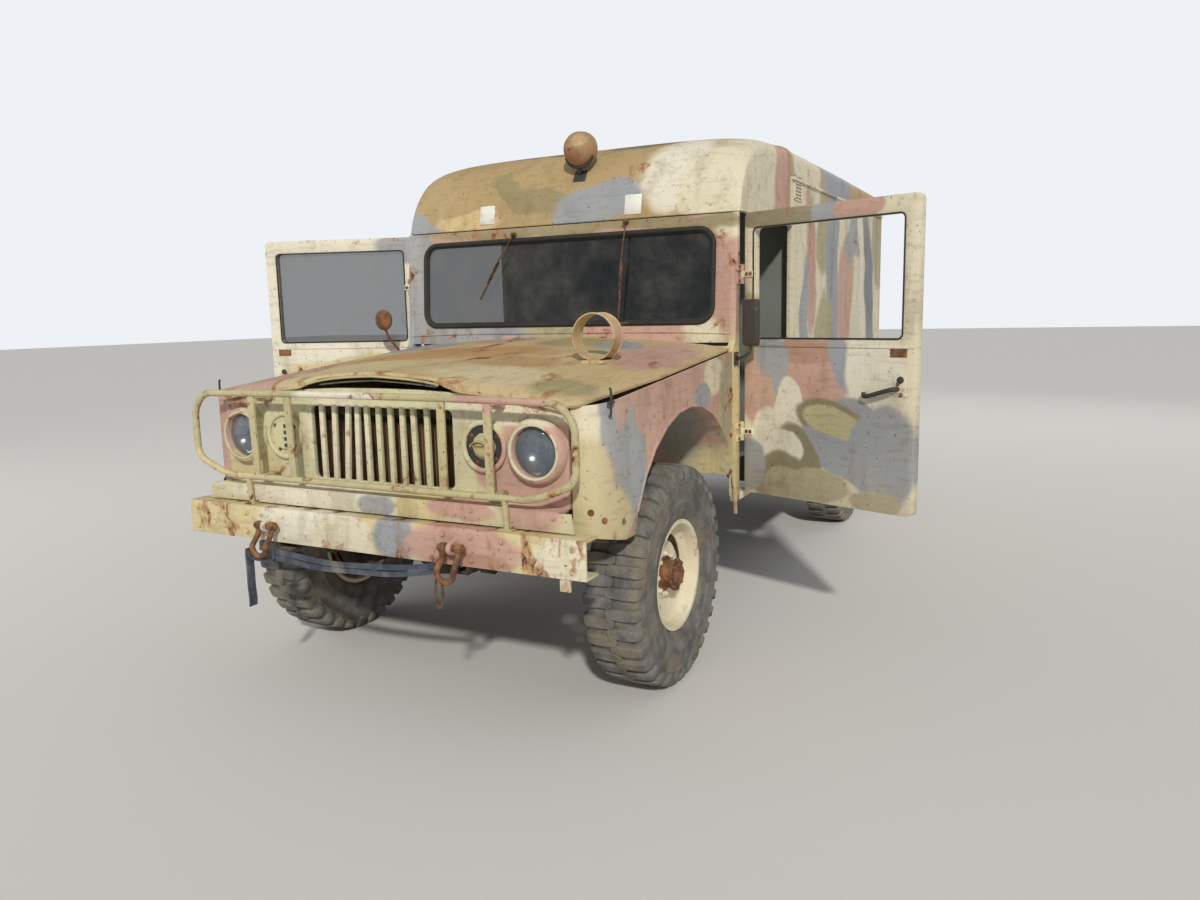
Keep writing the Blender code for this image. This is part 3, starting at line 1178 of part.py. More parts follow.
def rear_step():
    start = REAR_REACH - STEP_DEPTH
    tread = block(-0.66, 0.66, start, REAR_REACH, STEP_LOW, STEP_LOW + STEP_T)
    parts = [tread]
    for side in (-1, 1):
        low, high = sorted((side * (RAIL_X - RAIL_FLANGE), side * RAIL_X))
        parts.append(prism([(RAIL_END_Y + GAP, RAIL_HIGH), (RAIL_END_Y + GAP, RAIL_LOW),
                            (start - 0.03, STEP_LOW - 0.03), (REAR_REACH - 0.05, STEP_LOW - 0.01),
                            (REAR_REACH - 0.05, STEP_LOW + STEP_T / 2), (start + 0.01, STEP_LOW + STEP_T / 2),
                            (start - 0.004, STEP_LOW + STEP_T), (start - 0.012, RAIL_HIGH)], "x", low, high))
    node("rear_step", fused(parts), DARK)


def mirrors():
    plate_x = BODY_HALF + GAP
    arm = BODY_HALF + 0.035
    head = Matrix.Translation((arm + 0.045, 1.478, 1.465)) @ Matrix.Rotation(radians(-38), 4, "Z")
    left = [moved(prism(rounded(-0.055, 0.055, -0.105, 0.105, 0.015, 2), "y", -0.012, 0.012), head),
            tube([(plate_x + 0.005, 1.500, 1.300), (arm, 1.480, 1.305), (arm + 0.045, 1.478, 1.33),
                  (arm + 0.045, 1.478, 1.40)], 0.007, 6),
            block(plate_x, plate_x + 0.008, 1.475, 1.525, 1.270, 1.330)]
    node("mirror_left", fused(left), DARK)
    centre = (-arm - 0.021, 1.350, 1.511)
    bowl = ((-0.022, 0.0), (-0.016, 0.035), (0.0, 0.056), (0.010, 0.056), (0.010, 0.0))
    right = [turned(bowl, "y", centre, 16),
             tube([(-plate_x - 0.005, 1.500, 1.300), (-arm, 1.47, 1.32), (-arm - 0.019, 1.380, 1.42),
                   (-arm - 0.021, 1.354, 1.49)], 0.007, 6),
             block(-plate_x - 0.008, -plate_x, 1.475, 1.525, 1.270, 1.330)]
    node("mirror_right", fused(right), RUST)


def spot_lamp():
    # Stands on the front slope of the roof, its round back to the front
    x, y, z = SPOT_LAMP
    bowl = turned(((-0.076, 0.0), (-0.069, 0.034), (-0.044, 0.066), (0.0, 0.086), (0.034, 0.087),
                   (0.040, 0.0)), "y", (x, y, z), 16)
    near, far = y + 0.006, y + 0.036
    low, high = crown_height(near) + GAP * 3, crown_height(far) + GAP * 3
    foot = prism([(near, low), (far, high), (far, high + 0.012), (near, high + 0.012)],
                 "x", x - 0.045, x + 0.025)
    stem = tube([(x - 0.01, y + 0.020, high + 0.008), (x - 0.006, y + 0.010, z - 0.10),
                 (x, y, z - 0.02)], 0.0115, 8)
    node("spot_lamp", fused([bowl, stem, foot]), RUST, 40)


def main():
    chassis_frame()
    front_bumper()
    tow_shackles()
    tow_strap()
    hood()
    fenders()
    front_panel()
    lamps_and_radiator()
    brush_guard()
    engine_and_driveline()
    exhaust_and_tank()
    axles()
    steering()
    wheels()
    cab_front()
    body_floor()
    benches()
    body_sides()
    roof()
    body_ends()
    seats()
    dash_and_steering()
    cab_doors()
    rear_doors()
    rear_step()
    mirrors()
    spot_lamp()


main()
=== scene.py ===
# Looks of a military ambulance truck in faded desert camouflage, both cab doors open
# Metres, +X is the truck's left, the front faces -Y, the ground is z = 0
import json
from math import atan2, cos, degrees, pi, radians, sin

import bmesh
import bpy
from mathutils import Matrix, Vector

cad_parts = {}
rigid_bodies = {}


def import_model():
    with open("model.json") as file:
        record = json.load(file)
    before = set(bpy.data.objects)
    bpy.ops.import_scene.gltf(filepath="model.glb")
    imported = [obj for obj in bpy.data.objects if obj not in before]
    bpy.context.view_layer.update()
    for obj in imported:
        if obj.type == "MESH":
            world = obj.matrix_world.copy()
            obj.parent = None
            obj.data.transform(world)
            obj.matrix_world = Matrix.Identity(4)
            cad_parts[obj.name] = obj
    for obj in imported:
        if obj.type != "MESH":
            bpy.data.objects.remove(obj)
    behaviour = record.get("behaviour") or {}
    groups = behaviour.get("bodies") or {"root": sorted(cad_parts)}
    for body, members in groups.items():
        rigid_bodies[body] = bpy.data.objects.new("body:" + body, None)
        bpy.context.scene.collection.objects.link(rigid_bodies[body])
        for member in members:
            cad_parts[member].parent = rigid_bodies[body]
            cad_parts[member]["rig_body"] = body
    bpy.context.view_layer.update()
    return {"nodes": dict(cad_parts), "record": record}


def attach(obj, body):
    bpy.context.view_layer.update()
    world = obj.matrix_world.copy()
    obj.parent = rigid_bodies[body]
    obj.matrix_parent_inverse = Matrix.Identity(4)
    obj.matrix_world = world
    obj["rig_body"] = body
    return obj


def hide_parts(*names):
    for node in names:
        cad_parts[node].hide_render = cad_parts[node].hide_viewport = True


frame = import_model()
cadNodes = frame["nodes"]
cadSlots = {row["node"]: row["material_slot"] for row in frame["record"]["subparts"]}
noseY = -2.575  # the bumper's front face; stations below are distances behind it
print("frame loaded:", len(cadNodes), "nodes")


# Camera, floor and light

def linked(name, data):
    made = bpy.data.objects.new(name, data)
    bpy.context.scene.collection.objects.link(made)
    return made


def wired(tree, *routes):
    # Links nodes; each route is (node, its output, node, its input)
    for first, output, second, entry in routes:
        tree.links.new(first.outputs[output], second.inputs[entry])


viewpoint = {
    "place": (2.32758, noseY - 2.53563, 1.52216),
    "yaw": 0.479222523,
    "pitch": 0.150074293,
    "roll": -0.0220144263,
    "lens": 27.137,
}


def aimCamera(look):
    forward = Vector((-sin(look["yaw"]) * cos(look["pitch"]), cos(look["yaw"]) * cos(look["pitch"]),
                      -sin(look["pitch"])))
    level = Vector((cos(look["yaw"]), sin(look["yaw"]), 0.0))
    upward = level.cross(forward)
    side = cos(look["roll"]) * level + sin(look["roll"]) * upward
    top = cos(look["roll"]) * upward - sin(look["roll"]) * level
    turn = Matrix((side, top, -forward)).transposed().to_4x4()
    lensData = bpy.data.cameras.new("photoCamera")
    lensData.sensor_width = 36.0
    lensData.lens = look["lens"]
    camera = linked("photoCamera", lensData)
    camera.matrix_world = Matrix.Translation(look["place"]) @ turn
    bpy.context.scene.camera = camera


def areaLight(name, place, target, size, power):
    data = bpy.data.lights.new(name, "AREA")
    data.shape = "RECTANGLE"
    data.size, data.size_y = size
    data.energy = power
    lamp = linked(name, data)
    lamp.location = place
    lamp.rotation_euler = (Vector(target) - Vector(place)).to_track_quat("-Z", "Y").to_euler()


studio = {
    "sunTurn": (58.0, 0.0, 30.0), "sunAngle": 3.0, "sunStrength": 2.35, "sunColour": (1.0, 0.975, 0.93),
    "fill": {"place": (-8.0, -5.0, 4.0), "target": (0.0, 0.0, 1.0), "size": (6.0, 4.0), "power": 110.0},
    "rear": {"place": (3.0, 9.0, 6.0), "target": (0.0, 1.5, 1.2), "size": (8.0, 5.0), "power": 110.0},
    "floorReach": 60.0, "floorTone": 0.70,
    "skyColour": (0.93, 0.96, 1.0, 1.0), "skyLevel": 0.36, "backdropLevel": 0.92,
}


def setStudio(look):
    bpy.context.scene.view_settings.view_transform = "Standard"
    sky = bpy.data.worlds.new("studioWorld")
    sky.use_nodes = True
    bpy.context.scene.world = sky
    tree = sky.node_tree
    backdrop = tree.nodes["Background"]
    backdrop.inputs["Color"].default_value = look["skyColour"]
    # The camera sees the bright backdrop, also through glass; everything else is lit by the dimmer sky
    paths = tree.nodes.new("ShaderNodeLightPath")
    seen = tree.nodes.new("ShaderNodeMath")
    seen.operation = "MAXIMUM"
    level = tree.nodes.new("ShaderNodeMapRange")
    level.inputs["To Min"].default_value = look["skyLevel"]
    level.inputs["To Max"].default_value = look["backdropLevel"]
    wired(tree, (paths, "Is Camera Ray", seen, 0), (paths, "Is Transmission Ray", seen, 1),
          (seen, 0, level, "Value"), (level, "Result", backdrop, "Strength"))
    sun = bpy.data.lights.new("sunLamp", "SUN")
    sun.energy, sun.angle, sun.color = look["sunStrength"], radians(look["sunAngle"]), look["sunColour"]
    linked("sunLamp", sun).rotation_euler = [radians(part) for part in look["sunTurn"]]
    for name in ("fill", "rear"):
        areaLight(name + "Lamp", **look[name])
    floorMesh = bpy.data.meshes.new("studioFloor")
    reach = look["floorReach"]
    floorMesh.from_pydata([(-reach, -reach, 0), (reach, -reach, 0), (reach, reach, 0), (-reach, reach, 0)],
                          [], [(0, 1, 2, 3)])
    floor = linked("studioFloor", floorMesh)
    plain = bpy.data.materials.new("paleFloor")
    plain.use_nodes = True
    shader = plain.node_tree.nodes["Principled BSDF"]
    pale = look["floorTone"]
    shader.inputs["Base Color"].default_value = (pale, pale * 0.975, pale * 0.93, 1.0)
    shader.inputs["Roughness"].default_value = 0.9
    floorMesh.materials.append(plain)


aimCamera(viewpoint)
setStudio(studio)
print("studio set")


# Shader maths: a Level is one number that changes over a surface

class Level:
    def __init__(self, tree, socket):
        self.tree, self.socket = tree, socket

    def calc(self, operation, first, second):
        node = self.tree.nodes.new("ShaderNodeMath")
        node.operation = operation
        for slot, value in zip(node.inputs, (first, second)):
            plug(self.tree, slot, value)
        return Level(self.tree, node.outputs[0])

    def wave(self, rate):
        return self.calc("SINE", self * rate, 0.0)

    def __add__(self, other):
        return self.calc("ADD", self, other)

    def __mul__(self, other):
        return self.calc("MULTIPLY", self, other)

    def most(self, other):
        return self.calc("MAXIMUM", self, other)


def plug(tree, slot, value):
    if isinstance(value, Level):
        tree.links.new(value.socket, slot)
    else:
        slot.default_value = value


def tone(red, green, blue):
    # Screen colour, 0 to 255, to the linear colour that a shader takes
    def linear(part):
        part /= 255.0
        return part / 12.92 if part <= 0.04045 else ((part + 0.055) / 1.055) ** 2.4
    return (linear(red), linear(green), linear(blue), 1.0)


class Finish:
    # Builds one material; every pattern reads the piece's own Object coordinates
    def __init__(self, name, roughness=0.7, metallic=0.0):
        self.material = bpy.data.materials.new(name)
        self.material.use_nodes = True
        self.tree = self.material.node_tree
        self.shader = self.tree.nodes["Principled BSDF"]
        self.shader.inputs["Roughness"].default_value = roughness
        self.shader.inputs["Metallic"].default_value = metallic
        self.place = self.node("ShaderNodeTexCoord", output="Object")

    def node(self, kind, settings=None, output=0, **values):
        made = self.tree.nodes.new(kind)
        for key, value in (settings or {}).items():
            setattr(made, key, value)
        for key, value in values.items():
            plug(self.tree, made.inputs[int(key[2:])] if key.startswith("at") else made.inputs[key], value)
        return Level(self.tree, made.outputs[output])

    def noise(self, scale, detail=3.0, roughness=0.55, place=None, output="Fac", stretch=None):
        where = place or self.place
        if stretch:
            where = self.node("ShaderNodeMapping", Vector=where, Scale=stretch)
        return self.node("ShaderNodeTexNoise", output=output, Vector=where, Scale=scale, Detail=detail,
                         Roughness=roughness)

    def cracks(self, scale):
        return self.node("ShaderNodeTexVoronoi", {"feature": "DISTANCE_TO_EDGE"}, "Distance",
                         Vector=self.place, Scale=scale)

    def span(self, level, low, high, toLow=0.0, toHigh=1.0):
        made = self.tree.nodes.new("ShaderNodeMapRange")
        made.interpolation_type = "SMOOTHSTEP"
        plug(self.tree, made.inputs["Value"], level)
        for key, value in (("From Min", low), ("From Max", high), ("To Min", toLow), ("To Max", toHigh)):
            made.inputs[key].default_value = value
        return Level(self.tree, made.outputs["Result"])

    def mix(self, factor, first, second):
        made = self.tree.nodes.new("ShaderNodeMix")
        made.data_type = "RGBA"
        plug(self.tree, made.inputs[0], factor)
        plug(self.tree, made.inputs[6], first)
        plug(self.tree, made.inputs[7], second)
        return Level(self.tree, made.outputs[2])

    def over(self, colour, tint, level, low, high, most=1.0):
        # The tint laid over the colour where the level rises from low to high
        return self.mix(self.span(level, low, high, 0.0, most), colour, tint)

    def shifted(self, place, noise, amount):
        # place moved by a coloured noise, centred so that it stays where it is on average
        centred = self.node("ShaderNodeVectorMath", {"operation": "SUBTRACT"}, at0=noise, at1=(0.5, 0.5, 0.5))
        scaled = self.node("ShaderNodeVectorMath", {"operation": "SCALE"}, at0=centred, Scale=amount)
        return self.node("ShaderNodeVectorMath", {"operation": "ADD"}, at0=place, at1=scaled)

    def axis(self, index):
        return self.node("ShaderNodeSeparateXYZ", output=index, Vector=self.place)

    def facing(self, index):
        return self.node("ShaderNodeSeparateXYZ", output=index,
                         Vector=self.node("ShaderNodeNewGeometry", output="Normal"))

    def bump(self, height, distance, strength=1.0):
        made = self.tree.nodes.new("ShaderNodeBump")
        made.inputs["Distance"].default_value = distance
        made.inputs["Strength"].default_value = strength
        plug(self.tree, made.inputs["Height"], height)
        if self.shader.inputs["Normal"].links:
            self.tree.links.new(self.shader.inputs["Normal"].links[0].from_socket, made.inputs["Normal"])
        self.tree.links.new(made.outputs["Normal"], self.shader.inputs["Normal"])

    def feed(self, **values):
        for key, value in values.items():
            plug(self.tree, self.shader.inputs[key.replace("_", " ")], value)
        return self.material


# Paints

cream = tone(220, 211, 182)
ivory = tone(226, 219, 198)
rose = tone(194, 154, 138)
roseDeep = tone(176, 136, 116)
greyBlue = tone(152, 156, 161)
greyDeep = tone(128, 133, 139)
olive = tone(172, 164, 130)
oliveDeep = tone(134, 126, 96)
ochre = tone(176, 150, 104)
umber = tone(120, 98, 66)
straw = tone(208, 192, 142)
rustBright = tone(158, 100, 58)
rustDark = tone(80, 54, 38)
dust = tone(176, 162, 136)


def camoPaint(name, look):
    # Brushed and sprayed paint; each patch is (tone, centre, reach) and perhaps a turn, with stations for y
    paint = Finish(name, 0.72)
    softness = look.get("soft", 0.15)
    broad = paint.noise(look.get("wobbleScale", 3.2), 2.0, output="Color")
    ragged = paint.noise(26.0, 3.0, output="Color")
    place = paint.shifted(paint.shifted(paint.place, broad, look.get("wobble", 0.16)), ragged, 0.016)
    colour = look["base"]
    for patchTone, centre, reach, *turns in look["patches"]:
        centre = (centre[0], centre[1] + noseY, centre[2])
        local = paint.node("ShaderNodeMapping", {"vector_type": "TEXTURE"}, Vector=place, Location=centre,
                           Rotation=[radians(part) for turn in turns for part in turn] or (0, 0, 0),
                           Scale=reach)
        far = paint.node("ShaderNodeVectorMath", {"operation": "LENGTH"}, output="Value", at0=local)
        colour = paint.mix(paint.span(far, 1.0 - softness, 1.0 + softness, 1.0, 0.0), colour, patchTone)
    # Sun fade, brush marks and dirt
    fade = paint.noise(1.7, 4.0, 0.6)
    colour = paint.over(colour, tone(222, 210, 180), fade, 0.35, 0.72, 0.16)
    marks = paint.noise(9.0, 5.0, 0.65, stretch=look.get("marks", (1.0, 1.0, 0.35)))
    colour = paint.over(colour, tone(118, 98, 68), marks, 0.46, 0.74, 0.36)
    strokes = paint.noise(30.0, 3.0, 0.6, stretch=look.get("strokes", (0.3, 0.3, 1.6)))
    colour = paint.over(colour, tone(96, 80, 60), strokes, 0.52, 0.70, 0.20)
    grime = paint.noise(34.0, 4.0, 0.7)
    colour = paint.over(colour, umber, grime, 0.57, 0.72, 0.45)
    low = paint.span(paint.axis(2), look.get("dirtLow", 0.60), look.get("dirtHigh", 0.95), 1.0, 0.0)
    splash = paint.span(paint.noise(6.0, 4.0) + low * 0.35, 0.55, 0.95, 0.0, 0.45)
    colour = paint.mix(splash, colour, dust)
    # Rust that eats through the paint
    rustPlace = paint.shifted(paint.place, paint.noise(8.0, 3.0, output="Color"), 0.12)
    eaten = paint.noise(look.get("rustScale", 7.0), 8.0, 0.66, place=rustPlace,
                        stretch=look.get("rustStretch"))
    amount = look.get("rust", 0.64)
    stain = paint.span(eaten, amount - 0.05, amount + 0.03, 0.0, 0.75)
    core = paint.span(eaten, amount + 0.02, amount + 0.07)
    colour = paint.mix(stain, colour, rustBright)
    colour = paint.mix(core, colour, rustDark)
    chips = paint.span(paint.noise(70.0, 2.0, 0.5), 0.70, 0.73)
    colour = paint.mix(chips * 0.8, colour, rustDark)
    paint.bump(paint.noise(120.0, 3.0), 0.0006, 0.35)
    paint.bump(core.most(chips) * -1.0, 0.0012, 0.6)
    rough = paint.span(marks, 0.3, 0.8, 0.55, 0.85) + core * 0.15
    return paint.feed(Base_Color=colour, Roughness=rough)


def rustedSteel(name, light, dark, scale=22.0, rough=0.8, shine=0.25):
    steel = Finish(name, rough, shine)
    pits = steel.noise(scale, 8.0, 0.68)
    colour = steel.mix(steel.span(pits, 0.35, 0.66), dark, light)
    scabs = steel.span(steel.noise(scale * 3.0, 4.0, 0.7), 0.55, 0.7, 0.0, 0.7)
    colour = steel.mix(scabs, colour, rustDark)
    upper = steel.span(steel.facing(2), 0.3, 1.0, 0.0, 0.35) * steel.span(steel.noise(9.0), 0.35, 0.7)
    colour = steel.mix(upper, colour, dust)
    steel.bump(pits, 0.0016, 0.7)
    return steel.feed(Base_Color=colour, Roughness=steel.span(pits, 0.3, 0.7, rough + 0.1, rough - 0.15))


def undersideSteel(name):
    # Old black paint and oil under a coat of road dust
    steel = Finish(name, 0.75, 0.2)
    grain = steel.noise(14.0, 6.0, 0.62)
    colour = steel.mix(steel.span(grain, 0.3, 0.7), tone(36, 33, 30), tone(74, 64, 54))
    colour = steel.over(colour, tone(108, 74, 48), steel.noise(5.0, 5.0), 0.56, 0.68, 0.6)
    upper = steel.span(steel.facing(2), 0.2, 0.9, 0.1, 0.75) * steel.span(steel.noise(7.0, 3.0), 0.3, 0.65)
    colour = steel.mix(upper, colour, tone(140, 124, 100))
    steel.bump(grain, 0.0015, 0.5)
    return steel.feed(Base_Color=colour, Roughness=steel.span(grain, 0.3, 0.7, 0.85, 0.55))


def tyreRubber(name):
    # Grey weathered rubber with fine cracks and brown dust in patches
    rubber = Finish(name, 0.85)
    grain = rubber.noise(16.0, 5.0, 0.6)
    colour = rubber.mix(rubber.span(grain, 0.3, 0.7), tone(84, 83, 80), tone(126, 123, 116))
    mud = rubber.span(rubber.noise(5.5, 5.0, 0.65), 0.46, 0.64, 0.0, 0.60)
    colour = rubber.mix(mud, colour, tone(136, 122, 100))
    cracks = rubber.cracks(48.0)
    colour = rubber.mix(rubber.span(cracks, 0.0, 0.04, 0.30, 0.0), colour, tone(34, 32, 30))
    rubber.bump(rubber.noise(60.0, 4.0), 0.0014, 0.5)
    return rubber.feed(Base_Color=colour, Roughness=rubber.span(grain, 0.3, 0.7, 0.75, 0.95))


def windowGlass(name, tint, alpha, haze):
    pane = Finish(name, 0.06)
    film = pane.noise(3.5, 5.0, 0.7)
    shade = pane.mix(pane.span(film, 0.35, 0.75, 0.0, haze), tint, tone(196, 188, 170))
    clear = pane.span(film, 0.35, 0.8, alpha, min(1.0, alpha + haze * 0.5))
    return pane.feed(Base_Color=shade, Alpha=clear, Roughness=pane.span(film, 0.3, 0.8, 0.04, 0.22),
                     Coat_Weight=0.6, Coat_Roughness=0.03)


def plainPaint(name, base, worn, rough=0.7, rustAmount=0.66):
    paint = Finish(name, rough)
    patchy = paint.noise(3.0, 5.0, 0.6)
    colour = paint.mix(paint.span(patchy, 0.35, 0.7, 0.0, 0.6), base, worn)
    grime = paint.noise(20.0, 6.0, 0.7)
    colour = paint.over(colour, umber, grime, 0.55, 0.75, 0.45)
    eaten = paint.noise(9.0, 8.0, 0.66)
    colour = paint.over(colour, rustBright, eaten, rustAmount - 0.04, rustAmount + 0.03, 0.9)
    colour = paint.over(colour, rustDark, eaten, rustAmount + 0.03, rustAmount + 0.08)
    paint.bump(paint.noise(90.0, 3.0), 0.0008, 0.4)
    return paint.feed(Base_Color=colour, Roughness=paint.span(grime, 0.3, 0.8, rough - 0.12, rough + 0.12))


def lampLens(name):
    # Clear glass with upright ribs
    glass = Finish(name, 0.05)
    ribs = glass.axis(0).wave(1050.0)
    film = glass.noise(14.0, 4.0, 0.6)
    shade = glass.mix(glass.span(film, 0.45, 0.75, 0.0, 0.30), tone(118, 132, 148), tone(190, 186, 172))
    glass.bump(ribs, 0.0007, 0.5)
    return glass.feed(Base_Color=shade, Alpha=glass.span(film, 0.3, 0.8, 0.24, 0.44),
                      Roughness=glass.span(film, 0.3, 0.8, 0.05, 0.20), Coat_Weight=0.8, Coat_Roughness=0.03)


def webbingCloth(name):
    # Navy webbing, woven fine, faded and dusty
    cloth = Finish(name, 0.92)
    weft = cloth.axis(0).wave(1900.0)
    warp = cloth.axis(2).wave(2600.0)
    weave = weft * warp
    worn = cloth.noise(11.0, 5.0, 0.65)
    colour = cloth.mix(cloth.span(worn, 0.35, 0.70), tone(44, 54, 74), tone(98, 106, 116))
    colour = cloth.over(colour, tone(124, 128, 132), weave, -0.2, 0.9, 0.35)
    colour = cloth.over(colour, dust, cloth.noise(5.0, 3.0), 0.55, 0.72, 0.5)
    cloth.bump(weave, 0.0008, 0.8)
    return cloth.feed(Base_Color=colour, Roughness=cloth.span(worn, 0.3, 0.7, 0.85, 0.98))


def canvasCloth(name):
    # Olive seat canvas with its weave, creases and dirt
    cloth = Finish(name, 0.9)
    weave = cloth.axis(0).wave(2200.0) * cloth.axis(2).wave(2200.0)
    worn = cloth.noise(6.0, 5.0, 0.6)
    colour = cloth.mix(cloth.span(worn, 0.35, 0.7), tone(58, 60, 46), tone(96, 94, 72))
    colour = cloth.over(colour, tone(48, 42, 34), cloth.noise(18.0, 4.0), 0.56, 0.7, 0.5)
    cloth.bump(cloth.noise(10.0, 4.0, stretch=(1.0, 2.2, 1.0)), 0.006, 0.45)
    cloth.bump(weave, 0.0006, 0.6)
    return cloth.feed(Base_Color=colour, Roughness=cloth.span(worn, 0.3, 0.7, 0.82, 0.95))


def finnedCore(name):
    # Radiator core: fine upright fins, brown with dust, with painted shade in the gaps between the fins, and
    # a dark band near the top
    core = Finish(name, 0.8, 0.2)
    fins = core.axis(0).wave(620.0)
    grain = core.noise(18.0, 6.0, 0.65, stretch=(1.0, 1.0, 0.25))
    colour = core.mix(core.span(grain, 0.32, 0.68), tone(70, 52, 36), tone(142, 108, 72))
    # painted shade: darker in the gaps between the fins
    colour = core.mix(core.span(fins, -0.4, 0.8, 0.65, 0.0), colour, tone(34, 26, 20))
    band = core.span(core.axis(2), 1.118, 1.124) * core.span(core.axis(2), 1.142, 1.148, 1.0, 0.0)
    colour = core.mix(band, colour, tone(22, 20, 18))
    core.bump(fins, 0.0022, 0.9)
    return core.feed(Base_Color=colour, Roughness=core.span(grain, 0.3, 0.7, 0.9, 0.65))


# Shapes

def smoothed(piece, angle):
    # Smooth shading with sharp edges where faces meet at more than the angle
    piece.data.shade_smooth()
    piece.data.set_sharp_from_angle(angle=radians(angle))
    return piece


def fromBmesh(name, shape, smooth=None):
    mesh = bpy.data.meshes.new(name)
    shape.to_mesh(mesh)
    shape.free()
    made = linked(name, mesh)
    return made if smooth is None else smoothed(made, smooth)


def baked(piece):
    # The piece with its modifiers turned into a plain mesh
    bpy.context.view_layer.update()
    graph = bpy.context.evaluated_depsgraph_get()
    mesh = bpy.data.meshes.new_from_object(piece.evaluated_get(graph))
    name = piece.name
    bpy.data.objects.remove(piece)
    return linked(name, mesh)


def joined(name, pieces, smooth=None):
    shape = bmesh.new()
    for piece in pieces:
        start = len(shape.verts)
        shape.from_mesh(piece.data)
        shape.verts.ensure_lookup_table()
        bmesh.ops.transform(shape, matrix=piece.matrix_world, verts=shape.verts[start:])
        bpy.data.objects.remove(piece)
    return fromBmesh(name, shape, smooth)


def facingOut(name, shape, smooth=None):
    bmesh.ops.recalc_face_normals(shape, faces=shape.faces[:])
    return fromBmesh(name, shape, smooth)


def lofted(name, rings, smooth=None, closed=False):
    # Faces between rings of points, with a cap on each end or, when closed, back to the first ring
    shape = bmesh.new()
    loops = [[shape.verts.new(point) for point in ring] for ring in rings]
    pairs = list(zip(loops, loops[1:]))
    if closed:
        pairs.append((loops[-1], loops[0]))
    for near, far in pairs:
        for i in range(len(near)):
            j = (i + 1) % len(near)
            shape.faces.new((near[i], near[j], far[j], far[i]))
    if not closed:
        shape.faces.new(loops[0])
        shape.faces.new(loops[-1])
    return facingOut(name, shape, smooth)


def boxed(name, low, high, edge=0.0, steps=2):
    x0, y0, z0 = low
    x1, y1, z1 = high
    rings = [[(x0, y0, z), (x1, y0, z), (x1, y1, z), (x0, y1, z)] for z in (z0, z1)]
    return edged(lofted(name, rings), edge, steps) if edge else lofted(name, rings)


def edged(piece, width, steps=2, limit=35, sharp=50):
    # Rounds the edges where faces meet at more than the limit
    bevel = piece.modifiers.new("edge", "BEVEL")
    bevel.width = width
    bevel.segments = steps
    bevel.limit_method = "ANGLE"
    bevel.angle_limit = radians(limit)
    return smoothed(baked(piece), sharp)


def tubed(name, points, radius, sides=12, closed=False):
    # A round bar along a route; radius is one number, or one for each point
    points = [Vector(point) for point in points]
    count = len(points)
    rings, normal = [], None
    for i, point in enumerate(points):
        before = points[i - 1] if i or closed else point
        after = points[(i + 1) % count] if i + 1 < count or closed else point
        heading = (after - before).normalized()
        if normal is None:
            normal = heading.orthogonal().normalized()
        normal = (normal - heading * normal.dot(heading)).normalized()
        side = heading.cross(normal)
        thick = radius[i] if isinstance(radius, (list, tuple)) else radius
        rings.append([point + thick * (cos(2 * pi * k / sides) * normal + sin(2 * pi * k / sides) * side)
                      for k in range(sides)])
    return lofted(name, rings, 50, closed)


def curvedRoute(points, steps):
    # Rows of numbers between the given ones, on smooth curves through them
    count = len(points)
    route = []
    for i in range(count - 1):
        a, b, c, d = (points[min(max(i + k, 0), count - 1)] for k in (-1, 0, 1, 2))
        for s in range(steps):
            t = s / steps
            route.append(tuple(0.5 * (2 * q + (r - p) * t + (2 * p - 5 * q + 4 * r - v) * t * t
                                      + (3 * q - p - 3 * r + v) * t ** 3) for p, q, r, v in zip(a, b, c, d)))
    return route + [points[-1]]


def circle(radius, count, z=0.0):
    return [(radius * cos(2 * pi * k / count), radius * sin(2 * pi * k / count), z) for k in range(count)]


def spun(name, profile, centre, axis="Y", sides=48, smooth=40):
    # A closed profile of (along, radius) turned about an axis through centre
    shape = bmesh.new()
    rows = []

    def placed(along, a, b):
        spot = {"X": (along, a, b), "Y": (a, along, b), "Z": (a, b, along)}[axis]
        return shape.verts.new(Vector(centre) + Vector(spot))
    for along, radius in profile:
        if radius < 1e-9:
            rows.append([placed(along, 0.0, 0.0)] * sides)
        else:
            rows.append([placed(along, a, b) for a, b, _ in circle(radius, sides)])
    for near, far in zip(rows, rows[1:] + rows[:1]):
        for k in range(sides):
            face = list(dict.fromkeys((near[k], near[(k + 1) % sides], far[(k + 1) % sides], far[k])))
            if len(face) > 2:
                shape.faces.new(face)
    return facingOut(name, shape, smooth)


def gridSheet(name, rows, thickness, even=True):
    # A curved panel through a grid of points, its thickness on the side away from the normals
    shape = bmesh.new()
    grid = [[shape.verts.new(point) for point in row] for row in rows]
    for near, far in zip(grid, grid[1:]):
        for i in range(len(near) - 1):
            shape.faces.new((near[i], near[i + 1], far[i + 1], far[i]))
    made = fromBmesh(name, shape)
    wall = made.modifiers.new("wall", "SOLIDIFY")
    wall.thickness = thickness
    wall.offset = -1.0
    wall.use_even_offset = even
    return smoothed(baked(made), 40)


def finished(piece, material, nodeName, stands=False):
    # Paints the piece and gives it the node's body; a piece that stands for the node replaces it
    body, slot = cadNodes[nodeName]["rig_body"], cadSlots[nodeName]
    piece.data.materials.clear()
    piece.data.materials.append(material)
    for face in piece.data.polygons:
        face.material_index = 0
    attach(piece, body)
    if stands:
        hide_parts(nodeName)
    return piece


def camel(nodeName):
    first, *rest = nodeName.split("_")
    return first + "".join(word.capitalize() for word in rest)


